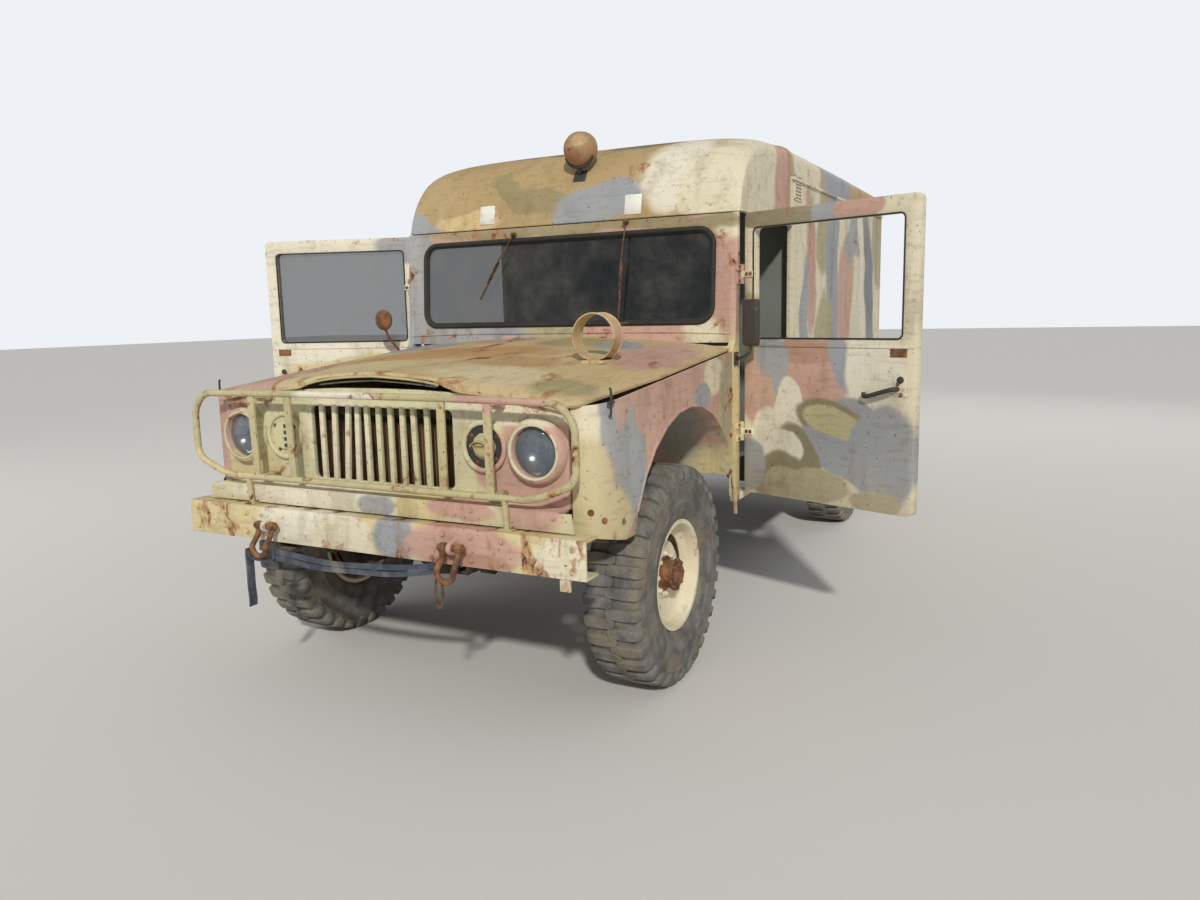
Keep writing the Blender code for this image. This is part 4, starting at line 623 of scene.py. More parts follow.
def dressed(nodeName, material, edge):
    # A CAD node's copy, its loose triangles merged, its edges rounded, standing for the node
    shape = bmesh.new()
    shape.from_mesh(cadNodes[nodeName].data)
    bmesh.ops.remove_doubles(shape, verts=shape.verts, dist=0.00002)
    if not nodeName.startswith("body_side"):
        # The sides keep their triangles, because their one great face is filled wrongly once it is merged
        bmesh.ops.dissolve_limit(shape, angle_limit=radians(0.4), verts=shape.verts, edges=shape.edges)
    made = fromBmesh(camel(nodeName), shape)
    made = edged(made, edge, 2, 40, 40) if edge else smoothed(made, 40)
    return finished(made, material, nodeName, True)


# Geometry Nodes: copies round an axis, and fasteners on marked points

def nodeTree(name, inputs):
    tree = bpy.data.node_groups.new(name, "GeometryNodeTree")
    tree.interface.new_socket(name="Geometry", in_out="INPUT", socket_type="NodeSocketGeometry")
    tree.interface.new_socket(name="Geometry", in_out="OUTPUT", socket_type="NodeSocketGeometry")
    for label, kind in inputs:
        tree.interface.new_socket(name=label, in_out="INPUT", socket_type="NodeSocket" + kind)
    entry = tree.nodes.new("NodeGroupInput")
    leave = tree.nodes.new("NodeGroupOutput")
    return tree, entry, leave


def finishTree(tree, entry, leave, copies):
    real = tree.nodes.new("GeometryNodeRealizeInstances")
    paint = tree.nodes.new("GeometryNodeSetMaterial")
    wired(tree, (copies, "Instances", real, "Geometry"), (real, "Geometry", paint, "Geometry"),
          (entry, "Finish", paint, "Material"), (paint, "Geometry", leave, "Geometry"))
    return tree


def ringTree():
    # Turns Count copies of Shape about the X axis, Step radians apart
    tree, entry, leave = nodeTree("copiesRoundAxis",
                                  (("Shape", "Object"), ("Count", "Int"), ("Step", "Float"),
                                   ("Start", "Float"), ("Finish", "Material")))
    line = tree.nodes.new("GeometryNodeMeshLine")
    line.inputs["Offset"].default_value = (0.0, 0.0, 0.0)
    source = tree.nodes.new("GeometryNodeObjectInfo")
    index = tree.nodes.new("GeometryNodeInputIndex")
    turn = tree.nodes.new("ShaderNodeMath")
    turn.operation = "MULTIPLY_ADD"
    angles = tree.nodes.new("ShaderNodeCombineXYZ")
    copies = tree.nodes.new("GeometryNodeInstanceOnPoints")
    wired(tree, (entry, "Count", line, "Count"), (entry, "Shape", source, "Object"), (index, 0, turn, 0),
          (entry, "Step", turn, 1), (entry, "Start", turn, 2), (turn, 0, angles, "X"),
          (line, "Mesh", copies, "Points"), (source, "Geometry", copies, "Instance"),
          (angles, "Vector", copies, "Rotation"))
    return finishTree(tree, entry, leave, copies)


def fastenerTree():
    # Puts Shape on every point, its Z along the point's own "facing" direction, a little turned
    tree, entry, leave = nodeTree("fastenersOnPoints", (("Shape", "Object"), ("Scale", "Float"),
                                                        ("Seed", "Int"), ("Finish", "Material")))
    source = tree.nodes.new("GeometryNodeObjectInfo")
    facing = tree.nodes.new("GeometryNodeInputNamedAttribute")
    facing.data_type = "FLOAT_VECTOR"
    facing.inputs["Name"].default_value = "facing"
    chance = tree.nodes.new("FunctionNodeRandomValue")
    chance.data_type = "FLOAT"
    chance.inputs[3].default_value = 6.28
    spin = tree.nodes.new("ShaderNodeCombineXYZ")
    align = tree.nodes.new("FunctionNodeAlignEulerToVector")
    align.axis = "Z"
    copies = tree.nodes.new("GeometryNodeInstanceOnPoints")
    wired(tree, (entry, "Shape", source, "Object"), (entry, "Seed", chance, "Seed"), (chance, 1, spin, "Z"),
          (spin, "Vector", align, "Rotation"), (facing, 0, align, "Vector"),
          (entry, "Geometry", copies, "Points"), (source, "Geometry", copies, "Instance"),
          (align, "Rotation", copies, "Rotation"), (entry, "Scale", copies, "Scale"))
    return finishTree(tree, entry, leave, copies)


ringCopies = ringTree()
fastenerCopies = fastenerTree()


def grown(piece, tree, shape, material, **values):
    # Runs a tree on the piece and returns the plain mesh
    grow = piece.modifiers.new("copies", "NODES")
    grow.node_group = tree
    values.update(Shape=shape, Finish=material)
    for item in tree.interface.items_tree:
        if item.in_out == "INPUT" and item.name in values:
            grow[item.identifier] = values[item.name]
    return smoothed(baked(piece), 40)


def ringed(name, shape, count, material, start=0.0):
    # Copies of a shape, turned round the X axis
    made = grown(linked(name, bpy.data.meshes.new(name)), ringCopies, shape, material, Count=count,
                 Step=2 * pi / count, Start=start)
    bpy.data.objects.remove(shape)
    return made


def boltHead(size, height):
    # A washer with a head on it, standing on the origin along Z
    washer = lofted("washer", [circle(size * 0.95, 16, z) for z in (-0.001, height * 0.22)])
    head = [circle(size * share, 6, z) for z, share in ((0.0, 0.62), (height * 0.85, 0.62), (height, 0.52))]
    return joined("bolt", [washer, lofted("head", head)])


def rivetHead(size, height):
    rows = ((-0.001, 1.0), (height * 0.5, 0.86), (height * 0.9, 0.5), (height, 0.15))
    return lofted("rivet", [circle(size * share, 10, z) for z, share in rows])


def fasteners(name, points, shape, material, nodeName, seed):
    # points are (place with a station for y, outward direction)
    mesh = bpy.data.meshes.new(name)
    mesh.from_pydata([(p[0], p[1] + noseY, p[2]) for p, _ in points], [], [])
    facing = mesh.attributes.new("facing", "FLOAT_VECTOR", "POINT")
    facing.data.foreach_set("vector", [part for _, way in points for part in way])
    made = grown(linked(name, mesh), fastenerCopies, shape, material, Scale=1.0, Seed=seed)
    bpy.data.objects.remove(shape)
    return finished(made, material, nodeName)


# Camouflage, one coat for each region: the front follows the photo, the rest is a guess in the same colours

coats = {
    "roof": {
        "base": ochre, "rust": 0.66, "wobble": 0.20,
        "patches": [
            (umber, (0.30, 2.2, 2.42), (1.0, 0.9, 0.07)),
            (tone(150, 136, 96), (-0.20, 1.62, 2.12), (0.30, 0.4, 0.06), (0, 20, 0)),
            (tone(206, 182, 130), (-0.56, 1.62, 2.01), (0.22, 0.4, 0.07)),
            (greyBlue, (-0.92, 1.62, 2.00), (0.18, 0.4, 0.08), (0, 20, 0)),
            (greyBlue, (0.20, 1.62, 2.05), (0.26, 0.4, 0.11), (0, -15, 0)),
            (ivory, (0.62, 1.75, 2.17), (0.22, 0.45, 0.20), (0, -30, 0)),
            (cream, (0.86, 1.60, 2.10), (0.20, 0.30, 0.26)),
            (cream, (0.95, 1.95, 2.10), (0.2, 0.22, 0.5)),
            (rose, (0.98, 2.22, 2.05), (0.2, 0.13, 0.5)),
            (cream, (0.90, 2.75, 2.35), (0.5, 0.32, 0.22)),
            (greyBlue, (0.92, 3.5, 2.30), (0.5, 0.35, 0.3), (0, 0, 20)),
            (rose, (0.40, 3.9, 2.40), (0.6, 0.4, 0.2), (0, 0, 30)),
            (cream, (-0.5, 3.1, 2.40), (0.5, 0.6, 0.2), (0, 0, -20)),
            (greyBlue, (-0.6, 4.3, 2.40), (0.5, 0.3, 0.2), (0, 0, 10)),
            (rose, (-0.98, 2.5, 2.1), (0.2, 0.4, 0.3)),
            (cream, (-0.98, 1.95, 2.1), (0.2, 0.22, 0.22)),
        ],
    },
    "side": {
        "base": cream, "rust": 0.68, "wobble": 0.34, "wobbleScale": 2.3, "marks": (1.0, 1.0, 0.2),
        "patches": [
            (rose, (0.95, 2.86, 1.75), (0.3, 0.12, 0.40), (8, 0, 0)),
            (greyBlue, (0.95, 2.72, 1.42), (0.3, 0.09, 0.46)),
            (olive, (0.95, 3.16, 2.02), (0.3, 0.20, 0.28)),
            (greyBlue, (0.95, 3.40, 1.72), (0.3, 0.17, 0.64), (6, 0, 0)),
            (rose, (0.95, 3.80, 1.60), (0.3, 0.24, 0.46), (-10, 0, 0)),
            (olive, (0.95, 3.18, 1.26), (0.3, 0.20, 0.36)),
            (greyBlue, (0.95, 4.10, 2.04), (0.3, 0.36, 0.16), (20, 0, 0)),
            (greyDeep, (0.95, 4.60, 1.60), (0.3, 0.18, 0.66), (14, 0, 0)),
            (ivory, (0.95, 4.30, 1.75), (0.3, 0.12, 0.5), (10, 0, 0)),
            (greyBlue, (0.95, 2.9, 0.85), (0.3, 0.44, 0.18)),
            (rose, (0.95, 4.85, 0.95), (0.3, 0.34, 0.26)),
            (olive, (0.95, 4.95, 2.05), (0.3, 0.28, 0.34)),
            (rose, (-0.95, 2.85, 1.75), (0.3, 0.40, 0.32), (15, 0, 0)),
            (greyBlue, (-0.95, 3.45, 1.35), (0.3, 0.30, 0.50), (-20, 0, 0)),
            (ivory, (-0.95, 3.70, 1.85), (0.3, 0.22, 0.30), (30, 0, 0)),
            (olive, (-0.95, 4.15, 1.80), (0.3, 0.44, 0.26), (25, 0, 0)),
            (greyDeep, (-0.95, 4.45, 2.05), (0.3, 0.40, 0.12), (-10, 0, 0)),
            (rose, (-0.95, 4.75, 1.25), (0.3, 0.30, 0.42), (-15, 0, 0)),
            (greyBlue, (-0.95, 2.62, 0.95), (0.3, 0.26, 0.24)),
            (olive, (-0.95, 3.15, 0.80), (0.3, 0.30, 0.14)),
            (greyBlue, (0.25, 5.05, 1.15), (0.44, 0.4, 0.30), (0, 25, 0)),
            (rose, (-0.55, 5.05, 1.75), (0.34, 0.4, 0.40), (0, -20, 0)),
            (olive, (0.60, 5.05, 1.95), (0.44, 0.4, 0.26), (0, 15, 0)),
            (greyDeep, (-0.80, 5.05, 0.85), (0.30, 0.4, 0.20)),
        ],
    },
    "cabFront": {
        "base": rose, "rust": 0.63,
        "patches": [
            (cream, (0.93, 1.52, 2.02), (0.12, 0.4, 0.16)),
            (straw, (0.95, 1.52, 1.05), (0.14, 0.4, 0.34)),
            (cream, (0.78, 1.50, 1.40), (0.14, 0.4, 0.10)),
            (straw, (0.90, 1.50, 0.70), (0.4, 0.4, 0.18)),
            (rose, (0.30, 1.50, 1.40), (0.40, 0.4, 0.10)),
            (olive, (-0.05, 1.50, 1.40), (0.20, 0.4, 0.09)),
            (greyBlue, (-0.60, 1.50, 1.40), (0.42, 0.4, 0.13)),
            (greyBlue, (-0.90, 1.50, 1.75), (0.10, 0.4, 0.40)),
            (tone(152, 138, 102), (0.1, 1.52, 1.95), (0.95, 0.4, 0.05)),
            (greyBlue, (-0.93, 1.50, 0.9), (0.2, 0.4, 0.3)),
        ],
    },
    "hood": {
        "base": tone(202, 178, 130), "rust": 0.60, "rustScale": 4.5, "rustStretch": (1.4, 0.55, 1.0),
        "wobble": 0.16, "soft": 0.26, "marks": (1.0, 0.4, 1.0), "strokes": (1.8, 0.22, 1.0),
        "patches": [
            (rose, (-0.80, 0.30, 1.27), (0.34, 0.45, 0.3), (0, 0, 20)),
            (straw, (-0.35, 0.35, 1.30), (0.26, 0.30, 0.3)),
            (tone(190, 146, 92), (-0.20, 0.85, 1.36), (0.50, 0.22, 0.3), (0, 0, 12)),
            (tone(188, 150, 100), (0.30, 0.62, 1.34), (0.22, 0.13, 0.3), (0, 0, -10)),
            (tone(214, 198, 156), (0.40, 0.30, 1.33), (0.26, 0.18, 0.3), (0, 0, -10)),
            (tone(168, 156, 112), (0.74, 0.26, 1.26), (0.12, 0.13, 0.3), (0, 0, 10)),
            (rose, (0.74, 1.05, 1.33), (0.16, 0.36, 0.3), (0, 0, 8)),
            (greyBlue, (0.50, 1.20, 1.36), (0.11, 0.16, 0.3), (0, 0, 25)),
            (tone(172, 156, 112), (0.24, 1.26, 1.40), (0.20, 0.18, 0.3)),
            (greyBlue, (-0.66, 1.24, 1.38), (0.26, 0.18, 0.3), (0, 0, -20)),
            (rose, (-0.24, 1.34, 1.40), (0.18, 0.10, 0.3)),
        ],
    },
    "fender": {
        "base": rose, "rust": 0.65, "wobble": 0.12, "dirtLow": 0.55, "dirtHigh": 0.9,
        "patches": [
            (greyBlue, (0.94, 0.36, 0.98), (0.3, 0.12, 0.24), (-22, 0, 0)),
            (greyBlue, (0.94, 0.22, 1.12), (0.3, 0.06, 0.12)),
            (straw, (0.92, 0.16, 0.80), (0.16, 0.20, 0.12)),
            (cream, (0.90, 0.12, 1.16), (0.08, 0.08, 0.14)),
            (tone(202, 188, 144), (0.90, 0.12, 0.94), (0.10, 0.12, 0.18)),
            (rose, (0.95, 0.62, 1.18), (0.3, 0.20, 0.12)),
            (cream, (0.95, 1.20, 1.25), (0.3, 0.13, 0.07)),
            (greyBlue, (0.95, 1.06, 1.18), (0.3, 0.10, 0.05)),
            (olive, (0.95, 1.38, 1.12), (0.3, 0.12, 0.18)),
            (straw, (0.95, 1.46, 0.80), (0.3, 0.10, 0.18)),
            (tone(150, 148, 138), (0.70, 0.93, 0.95), (0.22, 0.55, 0.45)),
            (greyBlue, (-0.95, 0.50, 1.05), (0.3, 0.25, 0.15), (30, 0, 0)),
            (cream, (-0.95, 0.95, 1.22), (0.3, 0.25, 0.10)),
            (olive, (-0.95, 1.35, 1.05), (0.3, 0.15, 0.25)),
            (tone(150, 148, 138), (-0.70, 0.93, 0.95), (0.22, 0.55, 0.45)),
        ],
    },
    "panel": {
        "base": tone(206, 200, 160), "rust": 0.64, "dirtLow": 0.7, "dirtHigh": 0.95, "wobble": 0.09,
        "patches": [
            (rose, (0.72, 0.12, 1.05), (0.16, 0.3, 0.30)),
            (rose, (0.55, 0.12, 0.97), (0.10, 0.3, 0.10)),
            (cream, (0.60, 0.12, 1.19), (0.30, 0.3, 0.05)),
            (rose, (-0.77, 0.12, 1.08), (0.08, 0.3, 0.20)),
            (straw, (-0.70, 0.12, 0.93), (0.16, 0.3, 0.07)),
            (ivory, (-0.28, 0.06, 0.82), (0.45, 0.3, 0.06)),
            (straw, (0.22, 0.06, 0.82), (0.13, 0.3, 0.06)),
            (rose, (0.42, 0.06, 0.83), (0.16, 0.3, 0.05)),
            (greyBlue, (0.02, 0.06, 0.82), (0.08, 0.3, 0.05)),
            (cream, (-0.20, 0.115, 1.04), (0.20, 0.02, 0.2)),
        ],
    },
    "bumper": {
        "base": straw, "rust": 0.57, "rustScale": 9.0, "rustStretch": (1.0, 1.0, 0.45), "wobble": 0.08,
        "dirtLow": 0.45, "dirtHigh": 0.6,
        "patches": [
            (ivory, (-0.30, 0.0, 0.72), (0.26, 0.2, 0.14)),
            (cream, (-0.10, 0.0, 0.70), (0.16, 0.2, 0.09)),
            (greyBlue, (0.14, 0.0, 0.72), (0.10, 0.2, 0.09), (0, 15, 0)),
            (rose, (0.45, 0.0, 0.71), (0.26, 0.2, 0.08)),
            (roseDeep, (0.50, 0.0, 0.66), (0.16, 0.2, 0.03)),
            (cream, (0.86, 0.0, 0.70), (0.12, 0.2, 0.09)),
        ],
    },
    "guard": {
        "base": tone(188, 178, 134), "rust": 0.60, "rustScale": 14.0, "wobble": 0.03, "dirtLow": 0.4,
        "dirtHigh": 0.5,
        "patches": [
            (ivory, (-0.12, 0.03, 1.238), (0.20, 0.1, 0.04)),
            (rose, (0.62, 0.03, 1.238), (0.20, 0.1, 0.05)),
            (straw, (-0.80, 0.03, 0.93), (0.20, 0.1, 0.08)),
        ],
    },
    "spot": {
        "base": tone(164, 128, 88), "rust": 0.60, "rustScale": 16.0, "wobble": 0.05,
        "patches": [
            # The darker patch low on the housing is painted shade and the lighter one high towards the
            # truck's left is a painted highlight
            (tone(150, 108, 70), (0.08, 1.52, 2.30), (0.06, 0.1, 0.04)),
            (tone(184, 152, 108), (0.13, 1.52, 2.37), (0.04, 0.1, 0.03)),
        ],
    },
}


def doorPatches(side):
    # Patches laid on the open door: along is the distance from its hinge, high is the height
    heading = Vector((side * 0.9397, -0.3420))
    root = Vector((side * 0.957, 1.575))

    def laid(paintTone, along, high, halfLong, halfHigh, lean=0.0):
        spot = root + heading * along
        turn = degrees(atan2(heading.y, heading.x))
        return (paintTone, (spot.x, spot.y, high), (halfLong, 0.2, halfHigh), (0, lean, turn))
    if side < 0:
        return [
            laid(greyBlue, 0.06, 1.92, 0.16, 0.10), laid(greyBlue, 0.80, 0.80, 0.14, 0.16),
            laid(straw, 0.45, 1.15, 0.40, 0.20), laid(greyBlue, 0.10, 0.78, 0.12, 0.14),
            laid(ivory, 0.60, 1.35, 0.30, 0.08), laid(rose, 0.35, 0.85, 0.18, 0.10),
        ]
    return [
        laid(olive, 0.02, 1.38, 0.10, 0.22), laid(rose, 0.09, 1.15, 0.10, 0.16),
        laid(rose, 0.38, 1.26, 0.22, 0.20), laid(roseDeep, 0.34, 1.34, 0.16, 0.06),
        laid(greyBlue, 0.17, 1.30, 0.09, 0.10, -20.0), laid(greyBlue, 0.22, 1.16, 0.05, 0.16, -12.0),
        laid(greyBlue, 0.53, 1.30, 0.05, 0.14, -20.0), laid(ivory, 0.68, 1.28, 0.13, 0.18),
        laid(greyBlue, 0.64, 1.05, 0.14, 0.07, 35.0), laid(ivory, 0.26, 1.10, 0.075, 0.12),
        laid(ivory, 0.14, 0.92, 0.09, 0.16), laid(ivory, 0.27, 0.94, 0.13, 0.09, 25.0),
        laid(oliveDeep, 0.48, 1.04, 0.19, 0.085, 12.0), laid(greyBlue, 0.55, 0.89, 0.26, 0.10, 18.0),
        laid(tone(186, 178, 136), 0.49, 1.03, 0.16, 0.065, 14.0),
        laid(greyBlue, 0.50, 0.90, 0.22, 0.07, 20.0),
        laid(greyBlue, 0.74, 0.90, 0.16, 0.22), laid(oliveDeep, 0.33, 0.86, 0.09, 0.17, -30.0),
        laid(ivory, 0.26, 0.90, 0.09, 0.07, 30.0), laid(oliveDeep, 0.22, 0.74, 0.17, 0.13),
        laid(olive, 0.25, 0.72, 0.13, 0.09), laid(olive, 0.42, 0.74, 0.16, 0.08),
        laid(greyBlue, 0.03, 0.80, 0.10, 0.13), laid(olive, 0.70, 0.70, 0.12, 0.05),
        laid(oliveDeep, 0.20, 1.93, 0.24, 0.05), laid(greyBlue, 0.45, 1.93, 0.08, 0.06),
        laid(rose, 0.60, 1.93, 0.12, 0.06),
    ]


coats["doorLeft"] = {"base": cream, "rust": 0.68, "wobble": 0.055, "wobbleScale": 5.0, "soft": 0.09,
                     "patches": doorPatches(1)}
coats["doorRight"] = {"base": ivory, "rust": 0.66, "wobble": 0.08, "patches": doorPatches(-1)}
paints = {name: camoPaint(name + "Camouflage", look) for name, look in coats.items()}
rustySteel = rustedSteel("rustySteel", tone(158, 108, 70), tone(96, 66, 48))
brownSteel = rustedSteel("brownSteel", tone(128, 92, 66), tone(72, 54, 42), 30.0, 0.85, 0.15)
chassisSteel = undersideSteel("chassisSteel")
rubber = tyreRubber("dustyRubber")
wheelPaint = plainPaint("wheelCream", tone(226, 218, 192), tone(198, 180, 140), 0.65, 0.62)
guardPaint = plainPaint("guardKhaki", tone(190, 180, 132), tone(160, 146, 100), 0.7, 0.62)
trimPaint = plainPaint("lampTrimPaint", tone(214, 204, 176), tone(176, 160, 128), 0.5, 0.62)
insidePaint = plainPaint("insidePaint", tone(120, 126, 118), tone(96, 100, 92), 0.7)
# Dark paint; on the left marker's recess and the right marker's cover slots it is painted shade in openings
darkPaint = plainPaint("darkPaint", tone(52, 52, 48), tone(74, 68, 58), 0.6)
sealRubber = plainPaint("sealRubber", tone(36, 35, 33), tone(60, 56, 50), 0.8, 0.9)
clearPane = windowGlass("clearPane", tone(56, 66, 70), 0.50, 0.24)
darkPane = windowGlass("darkPane", tone(24, 30, 34), 0.62, 0.14)
ribbedLens = lampLens("ribbedLens")
dullChrome = rustedSteel("dullChrome", tone(184, 184, 182), tone(130, 128, 124), 8.0, 0.28, 0.92)
navyWebbing = webbingCloth("navyWebbing")
plateWhite = plainPaint("plateWhite", tone(236, 234, 226), tone(214, 210, 198), 0.55, 0.72)
seatCanvas = canvasCloth("seatCanvas")
radiatorCore = finnedCore("radiatorCore")
print("finishes made:", len(bpy.data.materials))


# Helpers for pieces that are built from stations

flanks = {1: "Left", -1: "Right"}
alongX = Matrix.Rotation(radians(90), 4, "Y")  # turns a shape that stands along Z to lie along X


def turnedBy(piece, matrix):
    piece.data.transform(matrix)
    if matrix.determinant() < 0.0:
        piece.data.flip_normals()
    return piece


def copyOf(piece, name, matrix):
    return turnedBy(linked(name, piece.data.copy()), matrix)


def added(piece, material, nodeName, stands=False):
    # Moves the piece from stations into the world and hands it to the node's body
    return finished(turnedBy(piece, Matrix.Translation((0.0, noseY, 0.0))), material, nodeName, stands)


def cutBy(piece, cutters):
    for cutter in cutters:
        cut = piece.modifiers.new("cut", "BOOLEAN")
        cut.operation = "DIFFERENCE"
        cut.object = cutter
        cut.solver = "EXACT"
    made = baked(piece)
    for cutter in cutters:
        bpy.data.objects.remove(cutter)
    return made


def bentRoute(points, radius, steps=5, closed=False):
    # A route whose corners are bent, as bar is bent over a former
    points = [Vector(point) for point in points]
    count = len(points)
    route = []
    for i, corner in enumerate(points):
        if not closed and i in (0, count - 1):
            route.append(corner)
            continue
        back, ahead = points[i - 1] - corner, points[(i + 1) % count] - corner
        reach = min(radius, back.length * 0.45, ahead.length * 0.45)
        start, end = corner + back.normalized() * reach, corner + ahead.normalized() * reach
        for s in range(steps + 1):
            t = s / steps
            route.append((1 - t) ** 2 * start + 2 * t * (1 - t) * corner + t * t * end)
    return route


def roundedFrame(halfWide, low, high, radius, steps=6):
    # Points (across, up) round a window, from its lower left corner
    corners = ((halfWide - radius, low + radius, -90), (halfWide - radius, high - radius, 0),
               (-halfWide + radius, high - radius, 90), (-halfWide + radius, low + radius, 180))
    return [(a + radius * cos(radians(start + 90 * s / steps)),
             b + radius * sin(radians(start + 90 * s / steps)))
            for a, b, start in corners for s in range(steps + 1)]


# Wheels: lugged tyre, slotted disc, drum and hub

wheel = {
    "across": 0.851, "height": 0.455, "stations": {"front": 0.794, "rear": 3.994},
    "lugs": 34, "lugHalf": 0.0225, "lugTop": 0.455,
    "slotInner": 0.135, "slotOuter": 0.165, "slotHalf": 38.0, "slotTurns": (40.0, 220.0),
    "nuts": 8, "nutCircle": 0.084, "capBolts": 8, "capCircle": 0.0560,
}


def tyreShape(look):
    sidewall = [(0.092, 0.213), (0.092, 0.230), (0.0985, 0.233), (0.1085, 0.246), (0.117, 0.271),
                (0.1215, 0.300),
                (0.1238, 0.303), (0.1238, 0.306), (0.1224, 0.309), (0.1232, 0.335), (0.122, 0.365),
                (0.1192, 0.386), (0.1205, 0.389), (0.1180, 0.393), (0.113, 0.408), (0.106, 0.423),
                (0.095, 0.433), (0.060, 0.4385), (0.022, 0.440)]
    carcass = spun("carcass", sidewall + [(-x, r) for x, r in reversed(sidewall)], (0, 0, 0), "X", 96,
                   smooth=45)
    half, top = look["lugHalf"], look["lugTop"]
    rows = (((-0.016, top - 0.0008), (-0.018, 0.436), half * 0.45),
            ((-0.006, top), (-0.006, 0.436), half * 0.92), ((0.060, top - 0.0004), (0.060, 0.434), half),
            ((0.100, top - 0.005), (0.098, 0.426), half), ((0.1125, 0.4420), (0.104, 0.418), half * 0.96),
            ((0.1190, 0.4230), (0.106, 0.404), half * 0.84), ((0.1235, 0.4020), (0.112, 0.392), half * 0.62))
    rings = [[(high[0], -wide, high[1]), (high[0], wide, high[1]), (low[0], wide + 0.003, low[1]),
              (low[0], -wide - 0.003, low[1])] for high, low, wide in rows]
    lug = edged(lofted("lug", rings), 0.0022, 1)
    twin = copyOf(lug, "lugTwin", Matrix.Scale(-1.0, 4, (1.0, 0.0, 0.0)))
    pitch = 2 * pi / look["lugs"]
    sides = [ringed("lugsOut", lug, look["lugs"], rubber),
             ringed("lugsIn", twin, look["lugs"], rubber, pitch / 2)]
    return joined("tyre", [carcass] + sides, 38)


def rimShape(look):
    barrel = spun("barrel", [
        (-0.0995, 0.2285), (-0.0925, 0.2285), (-0.0925, 0.2118), (0.0925, 0.2118), (0.0925, 0.2285),
        (0.0960, 0.2300), (0.0990, 0.2288), (0.1002, 0.2230), (0.0985, 0.2120), (0.0890, 0.2045),
        (0.0560, 0.2030), (-0.0890, 0.2045), (-0.0985, 0.2120)], (0, 0, 0), "X", 72)
    disc = spun("disc", [
        (0.0540, 0.2040), (0.0460, 0.1960), (0.0400, 0.1760), (0.0350, 0.1500), (0.0270, 0.1180),
        (0.0250, 0.1090), (0.0300, 0.1015), (0.0345, 0.0970), (0.0345, 0.0600), (0.0280, 0.0600),
        (0.0280, 0.0930), (0.0240, 0.0980), (0.0180, 0.1070), (0.0200, 0.1180), (0.0280, 0.1500),
        (0.0330, 0.1760), (0.0390, 0.1960), (0.0460, 0.2040)], (0, 0, 0), "X", 72)
    cutters = []
    for middle in look["slotTurns"]:
        turns = [radians(middle + look["slotHalf"] * (2 * s / 14 - 1)) for s in range(15)]
        outline = [(look["slotOuter"] * cos(t), look["slotOuter"] * sin(t)) for t in turns]
        outline += [(look["slotInner"] * cos(t), look["slotInner"] * sin(t)) for t in reversed(turns)]
        cutters.append(lofted("slot", [[(x, a, b) for a, b in outline] for x in (-0.02, 0.08)]))
    disc = edged(cutBy(disc, cutters), 0.0015, 2)
    nut = turnedBy(boltHead(0.0165, 0.016), Matrix.Translation((0.0340, look["nutCircle"], 0.0)) @ alongX)
    nuts = ringed("nuts", nut, look["nuts"], wheelPaint)
    return joined("rim", [barrel, disc, nuts], 40)


def hubShape(look):
    hub = spun("hub", [
        (0.010, 0.075), (0.037, 0.075), (0.041, 0.067), (0.041, 0.059), (0.079, 0.0565), (0.080, 0.0660),
        (0.0885, 0.0665), (0.0905, 0.0640), (0.0905, 0.0470), (0.1000, 0.0450), (0.1045, 0.0400),
        (0.1060, 0.0290), (0.1060, 0.0), (0.010, 0.0)], (0, 0, 0), "X", 48)
    bolt = turnedBy(boltHead(0.0105, 0.009), Matrix.Translation((0.0900, look["capCircle"], 0.0)) @ alongX)
    drum = spun("drum", [(-0.080, 0.1560), (-0.080, 0.1680), (-0.076, 0.1700), (-0.070, 0.1680),
                         (0.006, 0.1680), (0.012, 0.1620), (0.013, 0.0700), (0.006, 0.0700), (0.004, 0.1560)],
                (0, 0, 0), "X", 64)
    return joined("hub", [hub, ringed("capBolts", bolt, look["capBolts"], rustySteel), drum], 40)


def setWheels(look):
    shapes = (("tyre", tyreShape(look), rubber, True), ("rim", rimShape(look), wheelPaint, True),
              ("hub", hubShape(look), rustySteel, False))
    for kind, shape, material, stands in shapes:
        for end, station in look["stations"].items():
            for side, flank in flanks.items():
                place = Matrix.Translation((side * look["across"], station, look["height"]))
                place = place @ Matrix.Rotation(0.0 if side > 0 else pi, 4, "Z")
                piece = copyOf(shape, kind + end.capitalize() + flank, place)
                nodeName = f"{'tyre' if kind == 'tyre' else 'rim'}_{end}_{flank.lower()}"
                added(piece, material, nodeName, stands)
        bpy.data.objects.remove(shape)


setWheels(wheel)
print("wheels made")


# Front: lamps, guard, shackles and strap

lamps = {"across": 0.707, "station": 0.12, "height": 1.054, "markerAcross": 0.487, "markerHeight": 1.060}


